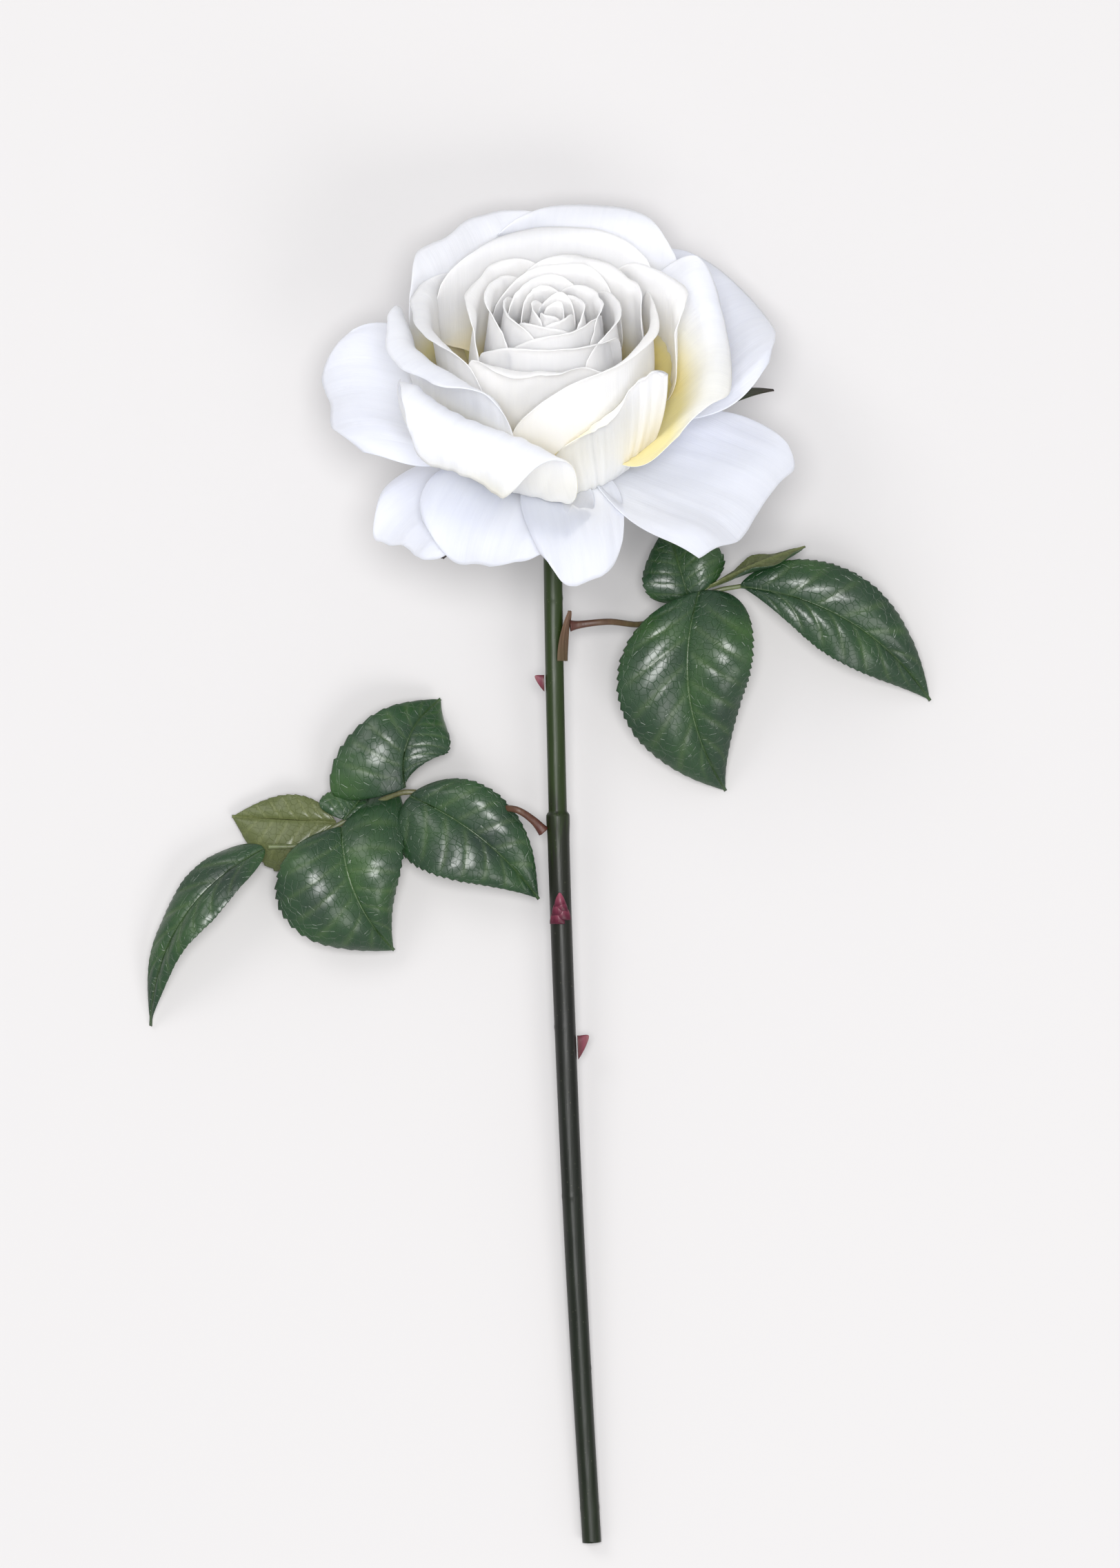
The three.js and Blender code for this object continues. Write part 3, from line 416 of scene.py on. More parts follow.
PETALS = {
    "guard_lower_left": {**GUARD, **dict(
        bearing=225, reach=46.5, rise=-0.5, half=17, arrive=-2, foot=-3.4, leave=2, point=0.06,
        point_at=-0.6)},
    "guard_bottom": {**GUARD, **dict(
        bearing=278, reach=52.5, rise=6.5, half=13.5, arrive=-4, foot=0.4, leave=7, corner=0.17,
        curl=26, frill=0.3, slant=-0.03, full_at=0.62)},
    "guard_back_right": {**GUARD, **dict(bearing=70, reach=43, rise=10, half=26, arrive=12, foot=-3)},
    "guard_back_left": {**GUARD, **dict(bearing=108, reach=42, rise=12, half=23, arrive=14, foot=-2)},
    "guard_left": {**GUARD, **dict(
        bearing=185, reach=46.5, rise=17, half=24, arrive=20, sweep=60, roll=15, fall=-0.22, waves=4)},
    "guard_bottom_left": {**GUARD, **dict(
        bearing=252, reach=45, rise=4.5, half=23, arrive=-4, sweep=60, foot=-0.9, leave=6,
        slant=-0.04)},
    "guard_right_low": {**GUARD, **dict(
        bearing=-33, reach=53, rise=3.5, half=28, arrive=3, corner=0.1, taper=0.08, point=0.05,
        point_at=0.85, slant=-0.05)},
    "guard_right": {**GUARD, **dict(
        bearing=27, reach=49, rise=22, half=34, arrive=32, sweep=60, foot=-0.5, leave=14)},
    "cup_lower_left": {**CUP, **dict(
        bearing=243, reach=40, rise=28, half=27, arrive=80, roll=28, sweep=180, fall=-0.22, iris=0,
        wrinkle=0.3, frill=0.9, corner=0.24, wrap=120, curl=10)},
    "cup_lower_right": {**CUP, **dict(
        bearing=-63, reach=31, rise=27, half=19, roll=6, sweep=120, iris=0, curl=30, leave=-5,
        leave_hold=0.85, arrive=96, fall=0.61, full_at=0.98, widen=2, wrinkle=0.3)},
    "cup_left": {**CUP, **dict(
        bearing=211, reach=36, rise=35.5, half=29, roll=15, sweep=120, iris=3, fall=0.02)},
    "cup_right": {**CUP, **dict(
        bearing=-4, reach=40, rise=29, half=30, leave=20, slant=0.05, arrive=50, fall=0.24, roll=9,
        leave_hold=0.5, widen=1.0, full_at=0.7)},
    "cup_back_right": {**CUP, **dict(bearing=76, reach=39.5, rise=37, half=28, sweep=70, arrive=74)},
    "cup_back_left": {**CUP, **dict(bearing=123, reach=38, rise=37, half=30, sweep=80, arrive=74)},
    "inner_right_outer": {**INNER, **dict(bearing=22, reach=32, rise=38, half=21, wrap=30)},
    "inner_front_low": {**INNER, **dict(
        bearing=-40, reach=27.5, rise=40.5, half=39, wrap=32, roll=6, iris=8, leave=8,
        leave_hold=0.68, corner=0.18, corner_power=2, slant=0.04)},
    "inner_back": {**INNER, **dict(bearing=96, reach=31, rise=40, half=34, iris=5, arrive=80)},
    "inner_left": {**INNER, **dict(bearing=185, reach=32, rise=39, half=30, arrive=82)},
    "inner_front": {**INNER, **dict(
        bearing=-95, reach=22.5, rise=37.4, half=23, wrap=34, roll=5, iris=5, slant=-0.05,
        corner=0.1)},
    "inner_back_right": {**INNER, **dict(bearing=50, reach=21.5, rise=40.5, half=25, wrap=24, roll=5)},
    "inner_back_left": {**INNER, **dict(bearing=150, reach=21.5, rise=40.5, half=25, wrap=24, roll=5)},
    "heart_front": {**HEART, **dict(
        bearing=-96, reach=16, rise=39.2, half=22, wrap=23, iris=5, slant=0.07, corner=0.09)},
    "heart_right": {**HEART, **dict(bearing=-10, reach=17, rise=41.5, half=19, wrap=19)},
    "heart_back": {**HEART, **dict(bearing=78, reach=16, rise=42, half=22, wrap=18)},
    "heart_left": {**HEART, **dict(bearing=168, reach=16.6, rise=41.6, half=20, wrap=19)},
    "core_front": {**HEART, **dict(
        bearing=-75, reach=11.6, rise=41.6, half=16.5, wrap=14, roll=3, slant=0.04, corner=0.09)},
    "core_left": {**HEART, **dict(bearing=195, reach=12, rise=42, half=15.5, wrap=13, roll=3)},
    "core_back": {**HEART, **dict(bearing=110, reach=11.2, rise=42.4, half=16.5, wrap=12.4, roll=3)},
    "core_right": {**HEART, **dict(bearing=20, reach=11.8, rise=42.2, half=15, wrap=12.4, roll=3)},
    "bud_1": {**BUD, **dict(bearing=250, reach=8.4, rise=41.6, half=12.4, wrap=9)},
    "bud_2": {**BUD, **dict(bearing=10, reach=8, rise=42.4, half=11.6, wrap=8.4)},
    "bud_3": {**BUD, **dict(bearing=125, reach=8.2, rise=42.4, half=12.4, wrap=8.4)},
    "bud_4": {**BUD, **dict(bearing=300, reach=5.6, rise=41.6, half=9, wrap=5.8)},
    "bud_5": {**BUD, **dict(bearing=175, reach=5.2, rise=42, half=9, wrap=5.6)},
    "bud_6": {**BUD, **dict(bearing=60, reach=5.4, rise=42.2, half=8.2, wrap=5.6)},
    "bud_7": {**TIP, **dict(bearing=240, reach=2.8, rise=41.2, half=6.2, wrap=2.9)},
    "bud_8": {**TIP, **dict(bearing=60, reach=2.8, rise=41.6, half=5.4, wrap=2.9)},
}


def petal_profile(p):
    """Radius, height and slopes against the distance from the petal's foot."""
    leave, arrive = math.radians(p["leave"]), math.radians(p["arrive"])
    foot = np.array([p["base"], p["foot"]], float)
    crest = np.array([p["reach"], p["rise"]], float)
    span = np.linalg.norm(crest - foot)
    one = foot + p["leave_hold"] * span * np.array([math.cos(leave), math.sin(leave)])
    two = crest - p["arrive_hold"] * span * np.array([math.cos(arrive), math.sin(arrive)])
    t = np.linspace(0, 1, 81)[:, None]
    path = (1 - t) ** 3 * foot + 3 * (1 - t) ** 2 * t * one + 3 * (1 - t) * t * t * two + t ** 3 * crest
    run = 3 * (1 - t) ** 2 * (one - foot) + 6 * (1 - t) * t * (two - one) + 3 * t * t * (crest - two)
    slope = np.arctan2(run[:, 1], run[:, 0])
    climbed = np.r_[0, np.cumsum(np.linalg.norm(np.diff(path, axis=0), axis=1))]
    q = np.arange(1, ROLL_STEPS + 1) / ROLL_STEPS
    turned = arrive - math.radians(p["sweep"]) * q ** 1.3
    middle = (np.r_[arrive, turned[:-1]] + turned) / 2
    step = p["roll"] / ROLL_STEPS
    return dict(
        distance=np.r_[climbed, climbed[-1] + q * p["roll"]],
        radius=np.r_[path[:, 0], crest[0] + np.cumsum(np.cos(middle)) * step],
        height=np.r_[path[:, 1], crest[1] + np.cumsum(np.sin(middle)) * step],
        slope=np.r_[slope, turned],
        face=np.r_[slope, np.full(ROLL_STEPS, arrive)],
    )


def petal_grid(p, seed, columns, rows):
    """Grid of points of one petal in the bloom's frame, with its u and v."""
    profile = petal_profile(p)
    total = profile["distance"][-1]
    widest = math.pi / 2 * EDGE_CROWDING
    u = np.sin(np.linspace(-1, 1, columns) * widest) / math.sin(widest)
    v = np.linspace(0, 1, rows) ** 0.92
    u, v = np.meshgrid(u, v)
    rough = Ripples(seed)
    outline = 1 - p["corner"] * np.abs(u) ** p["corner_power"] + p["slant"] * u
    outline = outline + p["point"] * np.exp(-(((u - p["point_at"]) / POINT_WIDTH) ** 2))
    outline = outline + EDGE_NIBBLE * p["frill"] * rough(u * 5, v * 0 + seed)
    distance = v * outline * total
    at = {key: np.interp(distance, profile["distance"], profile[key]) for key in profile}
    beyond = np.maximum(distance - total, 0)
    radius = at["radius"] + beyond * np.cos(at["slope"])
    height = at["height"] + beyond * np.sin(at["slope"])
    to_full = np.sin(np.clip(v / p["full_at"], 0, 1) * math.pi / 2) ** p["widen"]
    past = np.clip((v - p["full_at"]) / (1 - p["full_at"]), 0, 1)
    half = lerp(p["claw"], p["half"], to_full) * (1 - p["taper"] * past ** 2.2)
    bend_radius = lerp(np.maximum(radius, TIGHTEST_BEND), p["wrap"], smooth(0.1, 0.8, v))
    sideways = np.zeros_like(u)
    inward = np.zeros_like(u)
    for k in range(BEND_STEPS):
        q = u * (k + 0.5) / BEND_STEPS
        back = math.radians(p["curl"]) * smooth(0.45, 1, np.abs(q)) * np.sign(q) * smooth(0.25, 0.9, v)
        bend = q * half / bend_radius - back
        sideways += np.cos(bend) * u * half / BEND_STEPS
        inward += np.sin(bend) * u * half / BEND_STEPS
    ripple = p["ruffle"] * smooth(0.45, 1, v) * np.sin(p["waves"] * u)
    inward += sideways * math.sin(math.radians(p["iris"])) + ripple * (0.35 + 0.65 * np.abs(u))
    edge = np.maximum(np.abs(u), v)
    inward += p["frill"] * smooth(0.7, 1, edge) * smooth(0.3, 0.8, v) * rough(u * 9 + 3, v * 9)
    inward += p["wrinkle"] * smooth(0.15, 0.6, v) * rough(u * 26, v * 5)
    radial = radius - inward * np.sin(at["face"])
    height = height + inward * np.cos(at["face"]) + p["fall"] * sideways * v
    bearing = np.radians(p["bearing"] + p["lean"] * v * v)
    x = radial * np.cos(bearing) - sideways * np.sin(bearing)
    y = radial * np.sin(bearing) + sideways * np.cos(bearing)
    return np.stack([x, y, height], -1), u, v, sideways, distance


def openness(name, grid, v):
    """0 deep in the cup, where a yellow shade is painted, or at a petal's foot, where the tissue is yellow,
    to 1 out in the light.
    """
    radius = np.hypot(grid[..., 0], grid[..., 1])
    if name.startswith("guard"):
        return smooth(2, 34, radius)
    low, high = (20, 46) if name.startswith("cup") else (15, 40)
    return smooth(low, high, grid[..., 2] + 0.12 * radius) * smooth(-0.1, 0.55, v)


def build_petals():
    for order, (name, p) in enumerate(PETALS.items()):
        fine = 56 if p["half"] > 24 else 44 if p["half"] > 12 else 30
        grid, u, v, sideways, distance = petal_grid(p, SEED + order, fine, fine)
        edge = np.maximum(np.abs(u) ** 3, v ** 5)
        points, faces = sheet_mesh(lying(grid), 0.5 - 0.28 * edge)
        material, slot = (
            (PETAL_OUTER, "petal_outer") if name.startswith("guard")
            else (PETAL_CUP, "petal_cup") if name.startswith("cup")
            else (PETAL_HEART, "petal_heart")
        )
        # A yellow shade is painted deep in the cup, with the cream foot; the outer face gets less of the
        # painted shade.
        open_to_light = openness(name, grid, v)
        outside = open_to_light if name.startswith("guard") else lerp(0.62, 1, open_to_light)
        values = dict(open=np.r_[outside.ravel(), open_to_light.ravel()], rim=np.tile(edge.ravel(), 2))
        plane = np.tile(np.stack([sideways.ravel(), distance.ravel()], 1) / 100 + 0.5, (2, 1))
        add_piece(f"{name}_petal", points, faces, material, name, values, plane)


build_petals()

# ---------------------------------------------------------------- curves in the rose's frame


class Path:
    """A smooth line through places, walked by its length as a three.js centripetal curve is."""

    def __init__(self, places, count=600):
        places = [np.asarray(p, float) for p in places]
        ends = [2 * places[0] - places[1], *places, 2 * places[-1] - places[-2]]
        samples = []
        per = max(count // (len(places) - 1), 8)
        for i in range(1, len(ends) - 2):
            p0, p1, p2, p3 = ends[i - 1:i + 3]
            t1 = np.linalg.norm(p1 - p0) ** 0.5
            t2 = t1 + np.linalg.norm(p2 - p1) ** 0.5
            t3 = t2 + np.linalg.norm(p3 - p2) ** 0.5
            for t in np.linspace(t1, t2, per, endpoint=False):
                a1 = (t1 - t) / t1 * p0 + t / t1 * p1
                a2 = (t2 - t) / (t2 - t1) * p1 + (t - t1) / (t2 - t1) * p2
                a3 = (t3 - t) / (t3 - t2) * p2 + (t - t2) / (t3 - t2) * p3
                b1 = (t2 - t) / t2 * a1 + t / t2 * a2
                b2 = (t3 - t) / (t3 - t1) * a2 + (t - t1) / (t3 - t1) * a3
                samples.append((t2 - t) / (t2 - t1) * b1 + (t - t1) / (t2 - t1) * b2)
        samples.append(places[-1])
        self.points = np.array(samples)
        steps = np.linalg.norm(np.diff(self.points, axis=0), axis=1)
        self.reach = np.r_[0, np.cumsum(steps)]
        self.length = self.reach[-1]

    def at(self, share):
        where = np.clip(share, 0, 1) * self.length
        return np.stack([np.interp(where, self.reach, self.points[:, k]) for k in range(3)], -1)

    def tangent(self, share):
        step = 0.5 / self.length
        run = self.at(np.asarray(share) + step) - self.at(np.asarray(share) - step)
        return run / np.linalg.norm(run, axis=-1, keepdims=True)


def frames(line, shares):
    """Places, directions and two cross directions along a line; the first cross direction is level."""
    centre = line.at(shares)
    forward = line.tangent(shares)
    level = np.cross(forward, [0, 0, 1.0])
    level /= np.linalg.norm(level, axis=-1, keepdims=True)
    return centre, forward, level, np.cross(level, forward)


def round_tube(line, shares, radii, sides):
    """Rings of points around a line. radii is one radius for each ring and side, or for each ring."""
    centre, _, level, up = frames(line, shares)
    angle = np.linspace(0, 2 * math.pi, sides, endpoint=False)
    radii = np.broadcast_to(np.asarray(radii, float).reshape(len(shares), -1), (len(shares), sides))
    ring = level[:, None] * np.cos(angle)[:, None] + up[:, None] * np.sin(angle)[:, None]
    return centre[:, None] + ring * radii[..., None]


# The stem's line: places are millimetres from the bloom's base, as it lies.
AXIS = np.array([0, math.cos(TILT), math.sin(TILT)])
FLOOR = -BASE[2]


def stem_line():
    start = -AXIS * NECK_START
    neck = -AXIS * (NECK_START + 5)
    level_from, level_height, pieces = 30, neck[2] - 4, 7
    places = [start, neck]
    for i in range(pieces + 1):
        y = lerp(level_from, STEM_DROP, i / pieces)
        fallen = ((y - level_from) / (STEM_DROP - level_from)) ** 0.92
        height = lerp(level_height, FLOOR + CUT_RADIUS + 0.05, fallen)
        places.append([STEM_SWAY * (y / STEM_DROP) ** 1.8, -y, height])
    return Path(places)


STEM_LINE = stem_line()


def stem_share_at(drop):
    shares = np.linspace(0, 1, 2001)
    return np.interp(drop, -STEM_LINE.at(shares)[:, 1], shares)


def stem_radius_at(share):
    node = stem_share_at(NODE_AT)
    share = np.asarray(share, float)
    lower = lerp(STEM_RADIUS, CUT_RADIUS, (share - node) / (1 - node))
    lower = lower + 0.22 * np.exp(-(((share - node - 0.006) / 0.012) ** 2))
    upper = NECK_RADIUS + 0.6 * np.exp(-share / 0.012)
    return lerp(upper, lower, smooth(node - 0.002, node + 0.002, share))


def build_stem():
    """Long straight stem: faint ridges, leaf scars and lenticels, closed at its end."""
    rows, sides = 620, 48
    shares = np.linspace(0.0005, 0.9995, rows)
    angle = np.linspace(0, 2 * math.pi, sides, endpoint=False)
    rough = Ripples(SEED + 90)
    along = shares[:, None] * STEM_LINE.length
    radius = stem_radius_at(shares)[:, None] * 0.985
    radius = radius + 0.045 * rough(np.cos(angle)[None] * 3 + along * 0.05, np.sin(angle)[None] * 3)
    radius = radius + 0.03 * np.cos(5 * angle + 0.4)[None]
    for scar in (34, 150, 196, 243, 281):
        ring = np.exp(-(((along - scar) / 0.7) ** 2)) * (0.5 + 0.5 * np.cos(angle - scar))[None]
        radius = radius + 0.12 * ring
    points, faces = tube_mesh(round_tube(STEM_LINE, shares, radius, sides))
    drop = np.r_[np.repeat(shares, sides), 0, 1]
    add_piece("stem_bark", points, faces, STEM, "stem", dict(drop=drop))


def on_stem(from_drop, to_drop, facing, spread, lift, columns, rows, taper, tip=0, curl=0):
    """A grid that hugs the stem between two places along it, `lift` clear of its bark."""
    v, u = np.meshgrid(np.linspace(0, 1, rows), np.linspace(-1, 1, columns), indexing="ij")
    share = lerp(stem_share_at(from_drop), stem_share_at(to_drop), v)
    angle = np.radians(facing + u * spread * (1 - taper * v ** 2))
    reach = stem_radius_at(share) + lift + tip * v ** 2 + curl * np.abs(u) ** 3
    out = np.stack([np.cos(angle), np.zeros_like(angle), np.sin(angle)], -1)
    return STEM_LINE.at(share) + out * reach[..., None], u, v


def build_bract():
    grid, u, v = on_stem(60, 46.5, 20, 58, GAP + 0.45, 30, 36, 0.85, tip=1.2, curl=0.25)
    rough = Ripples(SEED + 91)
    grid = grid + normals(grid) * (0.14 * rough(u * 12, v * 4))[..., None]
    points, faces = sheet_mesh(grid, 0.5 - 0.3 * np.abs(u) ** 4)
    values = dict(along=np.tile(v.ravel(), 2))
    add_piece("bract_scale", points, faces, BRACT, "bract", values)


def build_side_bud():
    """A small pointed dormant bud made of overlapping scales, its red tip towards the bloom."""
    scale_count = 5
    for k in range(scale_count):
        layer = k / (scale_count - 1)
        start = 131 - 4.4 * layer
        end = 131 - 8.5 * (0.52 + 0.48 * layer)
        facing = 92 + (-1) ** k * 17 * (1 - layer)
        lift = GAP + 0.45 + 0.42 * layer
        grid, u, v = on_stem(start, end, facing, 34 - 12 * layer, lift, 14, 18, 0.95)
        swell = 0.55 * np.sin(math.pi * v ** 0.8) * (1 - np.abs(u) ** 2)
        grid = grid + np.array([0, 0, 1.0]) * (swell * (0.6 + 0.4 * layer))[..., None]
        points, faces = sheet_mesh(grid, np.full(u.shape, 0.3))
        values = dict(along=np.tile((0.35 + 0.65 * v).ravel(), 2))
        add_piece(f"side_bud_scale_{k + 1}", points, faces, SIDE_BUD, "side_bud", values)


def build_thorns():
    """Hooked thorns: broad oval foot, blade flattened sideways, sharp tip that leans down the stem."""
    for name, at, facing, height, foot_length, foot_width, hook in (
        ("thorn_upper", 66, 178, 2.6, 4.6, 1.8, 1.8), ("thorn_lower", 164.5, -2, 3.2, 6.6, 2.2, 3),
    ):
        share = stem_share_at(at)
        angle = math.radians(facing)
        out = np.array([math.cos(angle), 0, math.sin(angle)])
        along = -STEM_LINE.tangent(share)
        across = np.cross(along, out)
        foot = STEM_LINE.at(share) + out * (stem_radius_at(share) + GAP)
        rise = np.linspace(0, 1, 26)[:, None]
        turn = np.linspace(0, 2 * math.pi, 28, endpoint=False)[None]
        narrow = np.clip(1 - rise, 0.0004, 1) ** 0.62
        lengthwise = np.cos(turn) * foot_length * narrow / 2 + hook * rise ** 1.25
        sideways = np.sin(turn) * foot_width * narrow * (0.5 + 0.06 * np.cos(2 * turn))
        height_at = np.broadcast_to(rise * height, lengthwise.shape)
        grid = foot + out * height_at[..., None] + along * lengthwise[..., None]
        grid = grid + across * sideways[..., None]
        points, faces = tube_mesh(grid[::-1] if facing > 90 else grid)
        values = dict(along=np.r_[np.broadcast_to(rise, lengthwise.shape).ravel(), 0, 1])
        if facing > 90:
            values["along"] = np.r_[np.broadcast_to(rise[::-1], lengthwise.shape).ravel(), 1, 0]
        add_piece(f"{name}_horn", points, faces, THORN, name, values)


# ---------------------------------------------------------------- calyx

def build_receptacle():
    """Swollen green cup below the petals, faintly ribbed, on the neck."""
    outline = np.array(RECEPTACLE, float)
    fine = np.concatenate([
        np.linspace(a, b, 5, endpoint=False) for a, b in zip(outline[:-1], outline[1:])
    ] + [outline[-1:]])
    fine = fine[1:-1]
    radius, height = fine[:, 0], fine[:, 1]
    radius = np.convolve(np.pad(radius, 2, "edge"), [0.1, 0.2, 0.4, 0.2, 0.1], "valid") * 0.99
    turn = np.linspace(0, 2 * math.pi, 60, endpoint=False)
    wide = radius[:, None] * (1 + 0.008 * np.cos(15 * turn))[None]
    up = np.broadcast_to(height[:, None], wide.shape)
    rings = np.stack([wide * np.cos(turn), wide * np.sin(turn), up], -1)
    points, faces = tube_mesh(lying(rings))
    along = np.r_[np.repeat(np.linspace(0, 1, len(radius)), 60), 0, 1]
    add_piece("calyx_cup", points, faces, CALYX, "receptacle", dict(along=along))


SEPAL = {
    **PETAL, **dict(
        base=7.1, foot=-5.2, leave=-12, leave_hold=0.4, arrive=-6, arrive_hold=0.4, roll=10, sweep=20,
        half=4.6, claw=3.2, wrap=30, corner=0, corner_power=2, ruffle=0, curl=0, full_at=0.34,
        taper=0.93, frill=0.1, wrinkle=0.1),
}
SEPALS = [
    {**SEPAL, **dict(bearing=16, reach=52, rise=3, arrive=6)},
    {**SEPAL, **dict(bearing=88, reach=24, rise=-8)},
    {**SEPAL, **dict(bearing=160, reach=34, rise=-7)},
    {**SEPAL, **dict(bearing=233, reach=39, rise=-8)},
    {**SEPAL, **dict(bearing=304, reach=23, rise=-9)},
]


def build_sepals():
    for i, sepal in enumerate(SEPALS):
        grid, u, v, _, distance = petal_grid(sepal, SEED + 60 + i, 15, 60)
        points, faces = sheet_mesh(lying(grid), 0.5 - 0.25 * np.abs(u) ** 3)
        values = dict(along=np.tile(v.ravel(), 2))
        add_piece(f"sepal_{i + 1}_blade", points, faces, CALYX, f"sepal_{i + 1}", values)


# ---------------------------------------------------------------- leaves

# base and tip are X and Y from the bloom's base, and Z above the surface. left and right are the widest
# half-widths, looking from base to tip, and belly_left and belly_right where along the leaflet they are.
LEAFLET = dict(
    bow=0, arch=3, left=14, right=14, turn=0, belly_left=0.4, belly_right=0.4, lobe_left=0, lobe_right=0,
)
LEAFLETS = {
    "leaflet_left_1": dict(
        base=[-38.5, -96.5, 11], tip=[-3.6, -124.4, 10], bow=-3.2, arch=6, left=12.5, right=16.5, turn=4,
        belly_left=0.4, belly_right=0.3, lobe_right=0.12),
    "leaflet_left_2": dict(
        base=[-39.9, -94.2, 11], tip=[-30.2, -70.1, 4], bow=-4, arch=5, left=20, right=11.5,
        belly_left=0.12, belly_right=0.58, lobe_left=0.1),
    "leaflet_left_3": dict(
        base=[-57, -104.9, 11], tip=[-42.8, -138.3, 5], bow=3.6, arch=7, left=18, right=21,
        belly_left=0.22, belly_right=0.4, lobe_left=0.6, lobe_right=0.05),
    "leaflet_left_4": dict(
        base=[-58.6, -103.6, 7.5], tip=[-86.9, -102, 2.5], arch=0.5, left=14.5, right=7, belly_left=0.5,
        belly_right=0.42),
    "leaflet_left_5": dict(
        base=[-78, -110.6, 10], tip=[-109.1, -158.9, 0.9], bow=8.2, arch=7, left=8, right=8, turn=-36,
        belly_left=0.34, belly_right=0.3),
    "leaflet_left_6": dict(
        base=[-56.4, -102.8, 9.5], tip=[-49.6, -94.4, 6], arch=1, left=8.5, right=2.5, belly_left=0.2,
        lobe_left=0.25),
    "leaflet_right_1": dict(
        base=[37, -43.6, 13.5], tip=[31, -23, 8], left=11, right=12.5,
        belly_left=0.34, belly_right=0.4, lobe_left=0.05),
    "leaflet_right_2": dict(
        base=[40.6, -41.4, 14], tip=[68.4, -29.2, 9], bow=-1, arch=2, left=6, right=6, turn=-108,
        belly_left=0.6, belly_right=0.6),
    "leaflet_right_3": dict(
        base=[50.6, -39.8, 13], tip=[102.6, -70.6, 0.9], bow=-7, arch=8, left=12.5, right=11, turn=6,
        belly_left=0.4, belly_right=0.52),
    "leaflet_right_4": dict(
        base=[39.7, -41.2, 15], tip=[47.1, -95.1, 0.9], bow=6.5, arch=9, left=18, right=19.5,
        belly_left=0.33, belly_right=0.45, lobe_left=0.2),
}
SHOWS_UNDERSIDE = {"leaflet_left_4"}
VEIN_PAIRS = 6
TOOTH_PITCH = 2.1
NARROWEST_HALF = 0.45
USUAL_LENGTH = 50  # creases and pillows are given for a leaflet of this length
TIP_TAPER = 1.15  # near 1 gives a straight-sided point


def blade_width(v, belly):
    """Half-width along a leaflet, 1 at the belly, 0 at the base and at the pointed tip."""
    rise = TIP_TAPER * belly / (1 - belly)
    v = np.clip(v, 0, 1)
    return v ** rise * (1 - v) ** TIP_TAPER / (belly ** rise * (1 - belly) ** TIP_TAPER)


def leaflet_grid(spec, order, columns=73, rows=121):
    """One leaflet: saw-toothed margins, a sunk midrib between two convex halves, side veins to the margin."""
    start = np.array(spec["base"], float) + [0, 0, FLOOR]
    end = np.array(spec["tip"], float) + [0, 0, FLOOR]
    run = end - start
    length = np.linalg.norm(run)
    level = np.array([run[1], -run[0], 0]) / math.hypot(run[0], run[1])
    middle = (start + end) / 2 + level * 2 * spec["bow"] + np.array([0, 0, 2 * spec["arch"]])
    v, u = np.meshgrid(np.linspace(0, 1, rows) ** 1.15, np.linspace(-1, 1, columns), indexing="ij")
    t = v[..., None]
    point = (1 - t) ** 2 * start + 2 * (1 - t) * t * middle + t * t * end
    run = 2 * (1 - t) * (middle - start) + 2 * t * (end - middle)
    tangent = run / np.linalg.norm(run, axis=-1, keepdims=True)
    side = np.cross(tangent, [0, 0, 1.0])
    side /= np.linalg.norm(side, axis=-1, keepdims=True)
    angle = math.radians(-spec["turn"])
    lift = np.cross(side, tangent)
    side, lift = (
        side * math.cos(angle) - lift * math.sin(angle),
        side * math.sin(angle) + lift * math.cos(angle),
    )
    across = np.abs(u)
    on_left = u < 0
    blade = np.where(on_left, blade_width(v, spec["belly_left"]), blade_width(v, spec["belly_right"]))
    half = np.maximum(np.where(on_left, spec["left"], spec["right"]) * blade, NARROWEST_HALF)
    lobe = np.where(on_left, spec["lobe_left"], spec["lobe_right"]) * across * blade * (1 - v) ** 4 * length
    rough = Ripples(SEED + 30 + order)
    # margin teeth lean towards the tip
    teeth = max(round(length / TOOTH_PITCH), 8)
    saw = (v * teeth + 0.35 * rough(v * 6, u * 0 + order)) % 1
    wide = u * half * (1 - across ** 10 * 0.045 * (1 - saw) * smooth(0.06, 0.3, v))
    # side veins leave the midrib at an angle and curve up to the margin
    lane = v * (VEIN_PAIRS + 1.5) - across * 1.9 + 0.5 * across ** 2 + 0.3 * np.sign(u)
    lane = lane + 0.22 * rough(u * 2, v * 3)
    crease = np.exp(-(((lane - np.round(lane)) * 8) ** 2)) * smooth(0.02, 0.1, across)
    crease = crease * (1 - smooth(0.7, 0.98, across)) * smooth(0.03, 0.15, v) * (1 - smooth(0.8, 0.97, v))
    midrib = np.exp(-((across * half / 0.5) ** 2))
    size = length / USUAL_LENGTH
    height = half * (0.42 * across - 0.47 * across ** 2)
    height = height - 0.13 * size * crease - 0.35 * midrib
    height = height + 0.06 * size * blade * np.cos(2 * math.pi * (lane - 0.5)) * smooth(0.1, 0.4, across)
    height = height + 0.5 * blade * rough(u * 2.2 + order, v * 6) * smooth(0.05, 0.6, across)
    height = height + 0.8 * across ** 3 * blade * np.sin(v * 13 + order * 2 + 2.2 * np.sign(u))
    grid = point + side * wide[..., None] + lift * height[..., None] - tangent * lobe[..., None]
    vein = np.clip(np.maximum(crease * 0.55, np.exp(-((across * half / 0.34) ** 2))), 0, 1)
    return grid, u, v, vein, np.stack([wide, v * length], -1)


